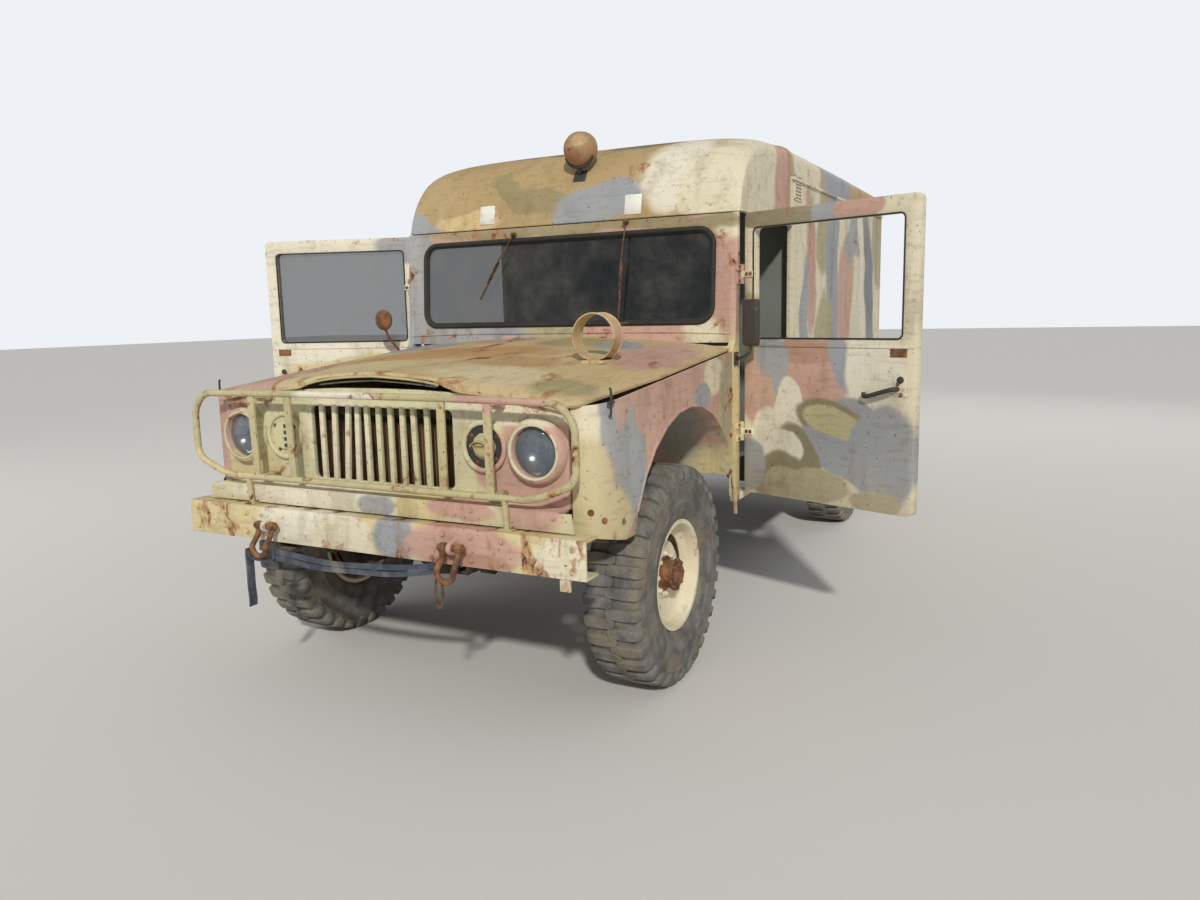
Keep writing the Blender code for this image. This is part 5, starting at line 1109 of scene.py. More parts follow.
def setHeadlamp(side, nodeName, look):
    centre = (side * look["across"], look["station"], look["height"])
    flank = flanks[side]
    lens = spun("lens" + flank, [
        (-0.0345, 0.0), (-0.0335, 0.022), (-0.0305, 0.044), (-0.0250, 0.066), (-0.0170, 0.082),
        (-0.0120, 0.0885), (-0.0080, 0.0885), (-0.0130, 0.080), (-0.0210, 0.064), (-0.0265, 0.043),
        (-0.0293, 0.022), (-0.0303, 0.0)], centre, sides=64)
    bowl = spun("reflector" + flank, [
        (-0.0060, 0.0880), (0.012, 0.078), (0.032, 0.056), (0.046, 0.030), (0.050, 0.0), (0.056, 0.0),
        (0.052, 0.032), (0.037, 0.060), (0.016, 0.083), (-0.002, 0.0885)], centre, sides=64)
    bulb = spun("bulb" + flank,
                [(-0.006, 0.0), (-0.004, 0.009), (0.006, 0.014), (0.020, 0.014), (0.030, 0.009),
                 (0.046, 0.008), (0.046, 0.0)], centre, sides=24)
    ring = spun("lampRing" + flank, [
        (0.0040, 0.1190), (-0.010, 0.1188), (-0.025, 0.1145), (-0.034, 0.1080), (-0.0375, 0.1000),
        (-0.0365, 0.0940), (-0.0300, 0.0893), (0.0040, 0.0893)], centre, sides=72)
    added(lens, ribbedLens, nodeName, True)
    added(joined("lampInside" + flank, [bowl, bulb], 40), dullChrome, nodeName)
    added(ring, paints["panel"], "front_panel")
    trim = spun("lampTrim" + flank,
                [(-0.0290, 0.0894), (-0.0385, 0.0900), (-0.0415, 0.0930), (-0.0415, 0.0975),
                 (-0.0385, 0.1005), (-0.0290, 0.1008)], centre, sides=72)
    added(trim, trimPaint, "front_panel")


def setMarker(side, look):
    centre = (side * look["markerAcross"], look["station"], look["markerHeight"])
    x, y, z = centre
    flank = flanks[side]
    if side > 0:
        body = spun("markerBody", [(0.004, 0.040), (-0.020, 0.040), (-0.028, 0.036), (-0.034, 0.026),
                                   (-0.036, 0.0), (0.004, 0.0)], centre, sides=40)
        slit = boxed("slit", (x - 0.030, y - 0.060, z - 0.004), (x + 0.030, y - 0.024, z + 0.006))
        added(cutBy(body, [slit]), guardPaint, "front_panel")
        turns = [pi * s / 12 for s in range(13)]
        rings = [[(x + r * cos(t), y - out, z + drop + r * 0.6 * sin(t))
                  for r, order in ((0.036, 1), (0.033, -1))
                  for t in turns[::order]] for out, drop in ((0.026, 0.006), (0.050, 0.002))]
        added(lofted("markerHood", rings, 40), guardPaint, "front_panel")
    else:
        cover = spun("markerCover",
                     [(0.004, 0.058), (-0.014, 0.058), (-0.020, 0.052), (-0.022, 0.0), (0.004, 0.0)], centre,
                     sides=40)
        added(cover, paints["panel"], "front_panel")
        # Dark blocks on the cover are painted shade standing for its open slots
        slotShades = [boxed("coverSlot", (x + 0.006, y - 0.0235, z + drop - 0.008),
                       (x + 0.034, y - 0.016, z + drop + 0.008), 0.003)
                 for drop in (-0.039, -0.013, 0.013, 0.039)]
        added(joined("coverSlots", slotShades, 40), darkPaint, "front_panel")
    # On the left the recess is painted dark as the shade behind the open ring; on the right it takes the
    # panel's paint
    recess = spun("markerRecess" + flank, [(0.004, 0.0), (0.004, 0.0800), (-0.006, 0.0800), (-0.008, 0.0780),
                                           (-0.008, 0.0)], centre, sides=48)
    added(recess, darkPaint if side > 0 else paints["panel"], "front_panel")
    wire = spun("markerRing" + flank,
                [(-0.014 + 0.005 * sin(2 * pi * k / 10), 0.0870 + 0.009 * cos(2 * pi * k / 10))
                 for k in range(10)], centre, sides=56)
    added(wire, paints["panel"], "front_panel")
    screws = [((x + 0.066 * cos(t), y - 0.008, z + 0.066 * sin(t)), (0.0, -1.0, 0.0))
              for t in (0.6, 2.5, 4.2, 5.6)]
    fasteners("markerScrews" + flank, screws, boltHead(0.0085, 0.007), rustySteel, "front_panel", 4)


guard = {"station": 0.028, "bar": 0.0135, "low": 0.898, "high": 1.238, "half": 0.905, "bend": 0.05,
         "foot": (0.62, 0.7823)}


def setGuard(look):
    y, low, high, half = look["station"], look["low"], look["high"], look["half"]
    loop = [(-half, y, 1.165), (-half, y, 0.965), (-0.735, y, low), (0.735, y, low), (half, y, 0.965),
            (half, y, 1.165), (half - 0.060, y, high - 0.006), (0.40, y, high), (-0.40, y, high),
            (-half + 0.060, y, high - 0.006)]
    across, base = look["foot"]
    parts = [tubed("loop", bentRoute(loop, look["bend"], 6, True), look["bar"], 16, True)]
    for x, lean in ((-0.565, -0.010), (-0.365, -0.012), (0.365, 0.0), (0.565, -0.004)):
        rings = [[(x + shift - 0.016, y - 0.0055, z), (x + shift + 0.016, y - 0.0055, z),
                  (x + shift + 0.016, y + 0.0055, z), (x + shift - 0.016, y + 0.0055, z)]
                 for z, shift in ((low, 0.0), (high, lean))]
        parts.append(edged(lofted("upright", rings), 0.0012, 2))
    for x in (-0.565, 0.565):
        for z in (low + 0.004, high - 0.030):
            parts.append(boxed("tie", (x - 0.014, y, z - 0.006), (x + 0.014, 0.1197, z + 0.006), 0.002))
    for side in (-1, 1):
        foot = [(side * across, y, low), (side * across, y + 0.008, 0.80), (side * across, y + 0.008, base)]
        parts.append(tubed("foot", foot, 0.0115, 12))
        parts.append(boxed("pad", (side * across - 0.028, y - 0.012, base),
                           (side * across + 0.028, y + 0.030, 0.788), 0.001))
    added(joined("brushGuard", parts, 45), paints["guard"], "brush_guard", True)
    points = [((side * across + step, y + 0.022, 0.788), (0.0, 0.0, 1.0)) for side in (-1, 1)
              for step in (-0.018, 0.018)]
    fasteners("guardBolts", points, boltHead(0.009, 0.008), rustySteel, "brush_guard", 6)


shackle = {"places": {"tow_shackle_left": 0.430, "tow_shackle_right": -0.475}, "bar": 0.0112, "half": 0.034,
           "pinStation": -0.034, "pinHeight": 0.716}


def setShackles(look):
    half, py, pz = look["half"], look["pinStation"], look["pinHeight"]
    for nodeName, x in look["places"].items():
        route = [(x - half, py, pz + 0.014), (x - half, py - 0.010, pz - 0.030),
                 (x - half - 0.002, py - 0.042, pz - 0.072)]
        route += [(x + (half + 0.002) * cos(t), py - 0.043, pz - 0.078 + half * sin(t))
                  for t in [pi + pi * s / 10 for s in range(1, 10)]]
        route += [(x + half + 0.002, py - 0.042, pz - 0.072), (x + half, py - 0.010, pz - 0.030),
                  (x + half, py, pz + 0.014)]
        parts = [tubed("bow", curvedRoute(route, 4), look["bar"], 14)]
        for side in (-1, 1):
            parts.append(spun("eye", [(-0.011, 0.0185), (0.011, 0.0185), (0.013, 0.0160), (0.013, 0.0),
                                      (-0.013, 0.0), (-0.013, 0.0160)], (x + side * half, py, pz), "X", 24))
        parts.append(spun("pin", [(-0.050, 0.0), (-0.050, 0.0095), (0.046, 0.0095), (0.046, 0.0)],
                          (x, py, pz), "X", 20))
        parts.append(turnedBy(boltHead(0.016, 0.010), Matrix.Translation((x + 0.0455, py, pz)) @ alongX))
        parts.append(spun("ring", [(-0.056, 0.004), (-0.056, 0.013), (-0.050, 0.013), (-0.050, 0.004)],
                          (x, py, pz), "X", 16))
        added(joined(camel(nodeName), parts, 40), rustySteel, nodeName, True)


strap = {"station": -0.060, "start": -0.423, "end": 0.3837, "bowBottom": 0.604, "sag": 0.030, "steps": 60}


def webbing(name, route, across, wide, thick):
    # Flat webbing along a route, its broad side square to the direction "across"
    across = Vector(across)
    rings = []
    route = [Vector(point) for point in route]
    for i, point in enumerate(route):
        heading = (route[min(i + 1, len(route) - 1)] - route[max(i - 1, 0)]).normalized()
        broad = heading.cross(across).normalized()
        rings.append([point + across * wide / 2 * a + broad * thick / 2 * b
                      for a, b in ((-1, -0.3), (-0.96, -1), (0, -0.8), (0.96, -1), (1, -0.3), (1, 0.3),
                                   (0.96, 1), (0, 0.8), (-0.96, 1), (-1, 0.3))])
    return lofted(name, rings, 60)


def setStrap(look):
    parts = []
    for shift, front, wide, phase in ((0.0115, 0.0, 0.0205, 0.0), (-0.0125, -0.0012, 0.0195, 1.3)):
        route = []
        for i in range(look["steps"] + 1):
            t = i / look["steps"]
            sag = look["sag"] * 4 * t * (1 - t)
            wave = 0.0022 * sin(9.0 * t + phase)
            route.append((look["start"] + (look["end"] - look["start"]) * t, look["station"] + front + wave,
                          look["bowBottom"] + 0.012 + 0.028 * t - sag + shift + 0.002 * sin(13 * t + phase)))
        parts.append(webbing("band", route, (0.0, 0.0, 1.0), wide, 0.0075))
    loop = [(-0.4060, -0.0610, 0.640), (-0.4055, -0.0610, 0.612), (-0.4120, -0.0610, 0.594),
            (-0.4300, -0.0610, 0.5850), (-0.4750, -0.0610, 0.5825), (-0.5200, -0.0610, 0.5850),
            (-0.5400, -0.0610, 0.594), (-0.5480, -0.0610, 0.612), (-0.5500, -0.0610, 0.618)]
    parts.append(webbing("wrap", curvedRoute(loop, 4), (0.0, 1.0, 0.0), 0.022, 0.007))
    tail = [(-0.5470, -0.0620, 0.626), (-0.5500, -0.0620, 0.600), (-0.5485, -0.0620, 0.540),
            (-0.5500, -0.0615, 0.470), (-0.5475, -0.0610, 0.420), (-0.5510, -0.0600, 0.3865)]
    parts.append(webbing("tail", curvedRoute(tail, 6), (0.0, 1.0, 0.0), 0.038, 0.0065))
    added(joined("towStrap", parts, 60), navyWebbing, "tow_strap", True)
    link = [(0.3880 + 0.016 * cos(t), -0.0610, 0.5600 + 0.060 * sin(t))
            for t in [2 * pi * s / 28 for s in range(28)]]
    added(tubed("strapLink", link, 0.0045, 10, True), brownSteel, "tow_strap")


for side, nodeName in ((1, "headlamp_left"), (-1, "headlamp_right")):
    setHeadlamp(side, nodeName, lamps)
    setMarker(side, lamps)
setGuard(guard)
setShackles(shackle)
setStrap(strap)
print("front pieces made")


# Hood, roof and windscreen

hood = {
    "front": 0.105, "rear": 1.440, "halfFront": 0.895, "halfRear": 0.940,
    "edgeFront": 1.228, "edgeRear": 1.350, "crownFront": 0.070, "crownRear": 0.056, "rise": 0.024,
    "lip": 0.022, "nose": 0.013, "noseLength": 0.055,
    "corner": 0.060, "mouthHalf": 0.30, "mouthLip": 0.012, "sheet": 0.010, "columns": 72, "rows": 44,
    "hoop": (0.62, 0.75), "hoopRadius": 0.098, "hoopDepth": 0.085,
}


def hoodHalf(look, y):
    # Half width at a station, with the front corners rounded
    t = (y - look["front"]) / (look["rear"] - look["front"])
    short = max(0.0, look["corner"] - (y - look["front"]))
    cut = look["corner"] - (look["corner"] ** 2 - short ** 2) ** 0.5
    return look["halfFront"] + (look["halfRear"] - look["halfFront"]) * min(1.0, t * 2.5) - cut


def hoodTop(look, x, y):
    t = (y - look["front"]) / (look["rear"] - look["front"])
    edge = look["edgeFront"] + (look["edgeRear"] - look["edgeFront"]) * t
    crown = look["crownFront"] + (look["crownRear"] - look["crownFront"]) * t
    share = min(1.0, abs(x) / hoodHalf(look, y))
    scoop = max(0.0, 1.0 - abs(x) / 0.36) ** 0.5 * look["rise"] * max(0.0, 1.0 - t * 3.0)
    dent = 0.0010 * sin(7.1 * x + 1.3) * sin(5.3 * y + 0.4) - 0.0008 * sin(13.0 * x) * cos(9.0 * y)
    beside = min(1.0, max(0.0, (abs(x) - look["mouthHalf"]) / 0.10))
    near = max(0.0, 1.0 - (y - look["front"]) / look["noseLength"])
    nose = look["nose"] * near ** 2 * beside
    return edge + crown * (1.0 - share ** 2.4) + scoop + dent * (1.0 - share ** 6) - nose


def setHood(look):
    shares = [2 * i / look["columns"] - 1 for i in range(look["columns"] + 1)]
    front = look["front"]
    rows = []
    for back, down in ((-0.006, 1.0), (-0.0062, 0.55), (-0.0055, 0.22), (-0.0030, 0.04)):
        row = []
        for share in shares:
            x = share * hoodHalf(look, front)
            blendIn = min(1.0, max(0.0, (abs(x) - look["mouthHalf"] + 0.015) / 0.03))
            drop = look["mouthLip"] + (look["lip"] - look["mouthLip"]) * blendIn
            row.append((x, front + back, hoodTop(look, x, front) - drop * down))
        rows.append(row)
    for j in range(look["rows"] + 1):
        y = front + (look["rear"] - front) * (j / look["rows"]) ** 1.5
        rows.append([(share * hoodHalf(look, y), y, hoodTop(look, share * hoodHalf(look, y), y))
                     for share in shares])
    parts = [gridSheet("skin", rows, look["sheet"])]
    x, y = look["hoop"]
    foot, radius, depth = hoodTop(look, x, y), look["hoopRadius"], look["hoopDepth"]
    centre = (x, y, foot + radius + 0.004)
    bead = [(depth / 2 - 0.004 + 0.004 * cos(t), radius - 0.004 + 0.004 * sin(t))
            for t in [pi * s / 6 - 0.5 for s in range(9)]]
    inside = [(-depth / 2 + 0.006, radius - 0.006), (depth / 2 - 0.006, radius - 0.006)]
    parts.append(spun("hoop", bead + [(-a, b) for a, b in reversed(bead)] + inside, centre, "Y", 72))
    parts.append(boxed("hoopFoot", (x - 0.050, y - 0.055, foot - 0.006), (x + 0.050, y + 0.055, foot + 0.008),
                       0.003))
    for side in (-1, 1):
        low, high = side * 0.25 - 0.030, side * 0.25 + 0.030
        parts.append(spun("knuckle", [(low, 0.0), (low, 0.007), (high, 0.007), (high, 0.0)],
                          (0.0, 1.4475, 1.410), "X", 20))
        parts.append(boxed("leaf", (low, 1.410, 1.397), (high, 1.4475, 1.409), 0.001))
    added(joined("hood", parts, 40), paints["hood"], "hood", True)
    lipRoute = [(x, front - 0.012, hoodTop(look, x, front) - 0.0165 - 0.006 * (abs(x) / 0.31) ** 4)
                for x in [0.31 * (2 * s / 40 - 1) for s in range(41)]]
    added(tubed("mouthBead", lipRoute, 0.0048, 10), guardPaint, "hood")
    strip = [(x, front + 0.010, hoodTop(look, x, front) - 0.034)
             for x in [0.285 * (2 * s / 30 - 1) for s in range(31)]]
    added(tubed("mouthStrip", strip, 0.0035, 8), dullChrome, "front_panel")
    bolts = [((x + a, y + b, foot + 0.008), (0.0, 0.0, 1.0)) for a in (-0.036, 0.036)
             for b in (-0.040, 0.040)]
    fasteners("hoopBolts", bolts, boltHead(0.009, 0.007), rustySteel, "hood", 3)
    for side, flank in sorted(flanks.items()):
        catch = [(side * 0.9470, 0.200, 1.270), (side * 0.9520, 0.200, 1.262), (side * 0.9530, 0.200, 1.215),
                 (side * 0.9500, 0.200, 1.180), (side * 0.9450, 0.200, 1.172)]
        parts = [tubed("catchRod", curvedRoute(catch, 4), 0.0045, 10)]
        parts.append(spun("catchPull", [(-0.020, 0.0), (-0.020, 0.006), (0.020, 0.006), (0.020, 0.0)],
                          (side * 0.9520, 0.200, 1.222), "Y", 14))
        added(joined("hoodCatch" + flank, parts, 40), darkPaint, "fender_" + flank.lower())


roof = {
    "half": 0.952, "sheet": 0.018, "hem": 1.9735, "columns": 64,
    "rows": ((1.558, 1.9735, 1.976, 1.978, 3.0), (1.575, 1.9735, 2.030, 2.085, 3.0),
             (1.605, 1.9735, 2.090, 2.175, 3.0), (1.655, 1.9735, 2.155, 2.255, 3.2),
             (1.735, 1.9735, 2.215, 2.322, 3.6), (1.865, 1.9735, 2.251, 2.368, 4.2),
             (2.050, 1.9735, 2.251, 2.393, 5.0), (2.395, 1.9735, 2.251, 2.408, 6.0)),
    "back": ((2.397, 2.231, 2.251, 2.408, 6.0), (3.700, 2.231, 2.251, 2.413, 6.0),
             (5.05, 2.231, 2.251, 2.404, 6.0)),
}


def roofRow(look, row, inset=0.0):
    y, hem, side, crown, power = row
    half = look["half"] - inset
    points = [(half, y, hem), (half, y, (hem + side) / 2)]
    for i in range(look["columns"] + 1):
        t = pi / 2 - pi * i / look["columns"]
        across = abs(sin(t)) ** (2 / power) * (1 if t > 0 else -1)
        points.append((half * across, y, side + (crown - side - inset) * max(0.0, cos(t)) ** (2 / power)))
    return points + [(-half, y, (hem + side) / 2), (-half, y, hem)]


def crownAt(look, y):
    rows = look["rows"] + look["back"]
    for near, far in zip(rows, rows[1:]):
        if near[0] <= y <= far[0]:
            return near[3] + (far[3] - near[3]) * (y - near[0]) / (far[0] - near[0])
    return rows[-1][3]


def setRoof(look):
    rows = [roofRow(look, row)[::-1] for row in curvedRoute(look["rows"], 5) + curvedRoute(look["back"], 8)]
    parts = [gridSheet("skin", rows, look["sheet"], False)]
    half, hem = look["half"], look["hem"]
    hemRoute = bentRoute([(-half, 2.38, hem + 0.004), (-half, 1.556, hem + 0.004), (half, 1.556, hem + 0.004),
                          (half, 2.38, hem + 0.004)], 0.03, 5)
    parts.append(tubed("hemBead", hemRoute, 0.0055, 8))
    seam = [(x, 2.396, z + 0.001) for x, _, z in roofRow(look, look["back"][0])[2:-2]]
    parts.append(tubed("seamBead", seam, 0.0050, 8))
    added(joined("roof", parts, 40), paints["roof"], "roof", True)
    for number, (x, z) in enumerate(((-0.444, 2.046), (0.407, 2.042))):
        rings = []
        for level in (z - 0.048, z + 0.048):
            y = 1.558 + 0.017 * (level - 1.978) / 0.107
            if level > 2.085:
                y = 1.575 + 0.030 * (level - 2.085) / 0.090
            rings.append([(x - 0.045, y - 0.0045, level), (x + 0.045, y - 0.0045, level),
                          (x + 0.045, y - 0.001, level), (x - 0.045, y - 0.001, level)])
        added(edged(lofted(f"blankPlate{number}", rings), 0.0008, 1), plateWhite, "roof")


screen = {"half": 0.835, "low": 0.095, "high": 0.530, "radius": 0.075, "foot": 1.498, "base": 1.375,
          "rake": 4.0}


def onScreen(look, x, out, up):
    # A point on the raked windscreen frame; out is the distance in front of it
    turn = radians(look["rake"])
    return (x, look["foot"] - out * cos(turn) + up * sin(turn),
            look["base"] + out * sin(turn) + up * cos(turn))


def setScreen(look):
    route = [onScreen(look, x, 0.000, up)
             for x, up in roundedFrame(look["half"], look["low"], look["high"], look["radius"], 8)]
    added(tubed("screenSeal", route, 0.0125, 10, True), sealRubber, "cab_front")
    smaller = roundedFrame(look["half"] - 0.010, look["low"] + 0.010, look["high"] - 0.010,
                           look["radius"] - 0.01, 8)
    inner = [onScreen(look, x, -0.006, up) for x, up in smaller]
    added(tubed("screenSealInner", inner, 0.0080, 10, True), sealRubber, "cab_front")
    ridge = [onScreen(look, x, 0.001, 0.052 - 0.010 * (x / 0.93) ** 4)
             for x in [0.93 * (2 * s / 40 - 1) for s in range(41)]]
    added(tubed("cowlRidge", ridge, 0.0045, 8), paints["cabFront"], "cab_front")
    for number, (top, low) in enumerate((((0.384, 0.583), (0.353, 0.112)),
                                         ((-0.259, 0.558), (-0.462, 0.232)))):
        pivot = onScreen(look, top[0], 0.012, top[1])
        middle = onScreen(look, top[0] + (low[0] - top[0]) * 0.5, 0.034, top[1] + (low[1] - top[1]) * 0.5)
        tip = onScreen(look, low[0], 0.018, low[1])
        quarter = onScreen(look, (top[0] + 3 * low[0]) / 4, 0.026, (top[1] + 3 * low[1]) / 4)
        parts = [tubed("arm", curvedRoute([pivot, middle, quarter], 8), 0.0042, 10)]
        bladeTop = onScreen(look, top[0] + (low[0] - top[0]) * 0.42, 0.018, top[1] + (low[1] - top[1]) * 0.42)
        parts.append(tubed("blade", [bladeTop, tip], 0.0052, 8))
        parts.append(spun("pivot",
                          [(-0.020, 0.0), (-0.020, 0.007), (-0.012, 0.012), (0.010, 0.014), (0.010, 0.0)],
                          pivot, "Y", 20))
        added(joined(f"wiper{number}", parts, 40), brownSteel, "cab_front")


setHood(hood)
setRoof(roof)
setScreen(screen)
print("hood, roof and windscreen made")


# Doors, mirrors, spot lamp and side fittings

door = {"pivot": (0.957, 1.575), "open": 110.0, "face": -0.007, "hinges": (0.953, 1.688),
        "window": (0.0596, 0.813, 1.392, 1.893), "belt": 1.358}


def doorTurn(look, side):
    # From the closed left door, measured from its hinge, to the open door on either side
    x, y = look["pivot"]
    place = Matrix.Translation((side * x, y, 0.0)) @ Matrix.Rotation(radians(-side * look["open"]), 4, "Z")
    return place @ Matrix.Scale(side, 4, (1.0, 0.0, 0.0))


def setDoor(side, look):
    flank = flanks[side]
    nodeName = "cab_door_" + flank.lower()
    turn = doorTurn(look, side)
    face = look["face"]
    y0, y1, z0, z1 = look["window"]
    middle, halfWide = (y0 + y1) / 2, (y1 - y0) / 2
    seal = [(face + 0.001, middle + a, b) for a, b in roundedFrame(halfWide, z0, z1, 0.022)]
    added(turnedBy(tubed("doorSeal" + flank, seal, 0.0038, 8, True), turn), sealRubber, nodeName)
    belt = boxed("beltBead" + flank, (face - 0.001, 0.016, look["belt"] - 0.005),
                 (face + 0.0035, 0.868, look["belt"] + 0.005), 0.0015)
    added(turnedBy(belt, turn), paints["door" + flank], nodeName)
    pull = [(-0.009, 0.800, 1.188), (0.0150, 0.792, 1.188), (0.0250, 0.760, 1.180), (0.0250, 0.695, 1.160),
            (0.0170, 0.660, 1.154), (0.0110, 0.652, 1.168)]
    parts = [tubed("pull", curvedRoute(pull, 6), [0.0098] * 28 + [0.0092, 0.0090, 0.0088], 12)]
    parts.append(spun("lock", [(-0.001, 0.0), (-0.001, 0.015), (0.004, 0.0145), (0.006, 0.012), (0.006, 0.0)],
                      (face + 0.003, 0.812, 1.226), "X", 24))
    added(turnedBy(joined("doorPull" + flank, parts, 40), turn), darkPaint, nodeName)
    plate = boxed("latchPlate" + flank, (face - 0.001, 0.762, 1.318), (face + 0.0030, 0.836, 1.354), 0.001)
    added(turnedBy(plate, turn), rustySteel, nodeName)
    points = []
    flat = Matrix.Rotation(radians(-side * look["open"]), 3, "Z") @ Vector((side, 0.0, 0.0))
    for z in look["hinges"]:
        for along in (0.026, 0.048):
            points.append((turn @ Vector((0.0, along, z)), flat))
    for along, z in ((0.800, 1.208), (0.815, 1.165)):
        points.append((turn @ Vector((face + 0.0025, along, z)), flat))
    fasteners("doorScrews" + flank, points, boltHead(0.0095, 0.006), rustySteel, nodeName, 8)
    posts = [((side * look["pivot"][0], 1.532, z + step), (side, 0.0, 0.0)) for z in look["hinges"]
             for step in (-0.032, 0.032)]
    fasteners("postScrews" + flank, posts, boltHead(0.0095, 0.006), rustySteel, "cab_front", 9)


mirrors = {"left": (1.030, 1.478, 1.465), "leftTurn": -38, "right": (-1.006, 1.350, 1.511)}


def setMirrors(look):
    head = Matrix.Translation(look["left"]) @ Matrix.Rotation(radians(look["leftTurn"]), 4, "Z")
    outline = roundedFrame(0.055, -0.105, 0.105, 0.016, 5)
    rings = [[(a * size, y, b * size) for a, b in outline]
             for y, size in ((-0.012, 0.90), (-0.010, 0.97), (-0.004, 1.0), (0.012, 1.0), (0.012, 0.93),
                             (0.008, 0.92))]
    parts = [turnedBy(lofted("shell", rings, 40), head)]
    arm = [(0.9550, 1.500, 1.300), (0.985, 1.480, 1.305), (1.030, 1.478, 1.33), (1.030, 1.478, 1.40)]
    parts.append(tubed("arm", bentRoute(arm, 0.03, 5), 0.0072, 12))
    parts.append(boxed("plate", (0.9503, 1.475, 1.270), (0.9583, 1.525, 1.330), 0.0015))
    parts.append(spun("clamp", [(-0.014, 0.0), (-0.014, 0.011), (0.014, 0.011), (0.014, 0.0)],
                      (1.030, 1.478, 1.385), "Z", 20))
    added(joined("mirrorLeft", parts, 40), darkPaint, "mirror_left", True)
    pane = lofted("mirrorPaneLeft",
                  [[(a * 0.915, y, b * 0.93) for a, b in outline] for y in (0.0075, 0.0105)], 40)
    added(turnedBy(pane, head), dullChrome, "mirror_left")
    centre = look["right"]
    bowl = [(-0.022, 0.0), (-0.0215, 0.014), (-0.018, 0.032), (-0.010, 0.046), (0.0, 0.0545), (0.006, 0.0565),
            (0.010, 0.0560), (0.010, 0.0520), (0.007, 0.0505), (0.006, 0.0)]
    parts = [spun("shell", bowl, centre, "Y", 48)]
    arm = [(-0.9550, 1.500, 1.300), (-0.985, 1.47, 1.32), (-1.004, 1.380, 1.42), (-1.006, 1.354, 1.49)]
    parts.append(tubed("arm", bentRoute(arm, 0.04, 5), 0.0072, 12))
    parts.append(boxed("plate", (-0.9583, 1.475, 1.270), (-0.9503, 1.525, 1.330), 0.0015))
    added(joined("mirrorRight", parts, 40), rustySteel, "mirror_right", True)
    added(spun("mirrorPaneRight", [(0.0062, 0.0), (0.0062, 0.0500), (0.0085, 0.0500), (0.0090, 0.0)], centre,
               "Y", 48),
          dullChrome, "mirror_right")
    points = [((side * 0.9583, 1.500, z), (side, 0.0, 0.0)) for side in (-1, 1) for z in (1.284, 1.316)]
    fasteners("mirrorBolts", points, boltHead(0.0085, 0.006), rustySteel, "mirror_left", 12)


def setSpotLamp(look):
    x, y, z = look["place"]
    bowl = [(-0.076, 0.0), (-0.0755, 0.012), (-0.070, 0.033), (-0.058, 0.052), (-0.040, 0.069),
            (-0.018, 0.081), (0.004, 0.0848), (0.012, 0.0848), (0.016, 0.0866), (0.028, 0.0866),
            (0.034, 0.0856), (0.034, 0.0800), (0.030, 0.0780), (0.030, 0.0)]
    parts = [spun("bowl", bowl, (x, y, z), "Y", 64)]
    near, far = y + 0.006, y + 0.036
    low, high = crownAt(roof, near) + 0.0009, crownAt(roof, far) + 0.0009
    rings = [[(x + a, near, low), (x + a, far, high), (x + a, far, high + 0.012), (x + a, near, low + 0.012)]
             for a in (-0.045, 0.025)]
    bracket = [edged(lofted("foot", rings), 0.002, 2)]
    stem = [(x - 0.01, y + 0.020, high + 0.004), (x - 0.006, y + 0.010, z - 0.10), (x, y, z - 0.02)]
    bracket.append(tubed("stem", curvedRoute(stem, 5), 0.0115, 14))
    added(joined("spotBracket", bracket, 40), darkPaint, "spot_lamp")
    added(joined("spotLamp", parts, 40), paints["spot"], "spot_lamp", True)
    lens = [(0.030, 0.0), (0.030, 0.0780), (0.036, 0.0770), (0.039, 0.050), (0.040, 0.0)]
    added(spun("spotLens", lens, (x, y, z), "Y", 48), ribbedLens, "spot_lamp")
    yoke = [(x + 0.078 * cos(t), y - 0.004, z - 0.012 + 0.078 * sin(t))
            for t in [pi + 0.35 + (pi - 0.7) * s / 18 for s in range(19)]]
    added(tubed("spotYoke", yoke, 0.0095, 12), darkPaint, "spot_lamp")


bodySide = {"skin": 0.950, "pitch": 0.085}


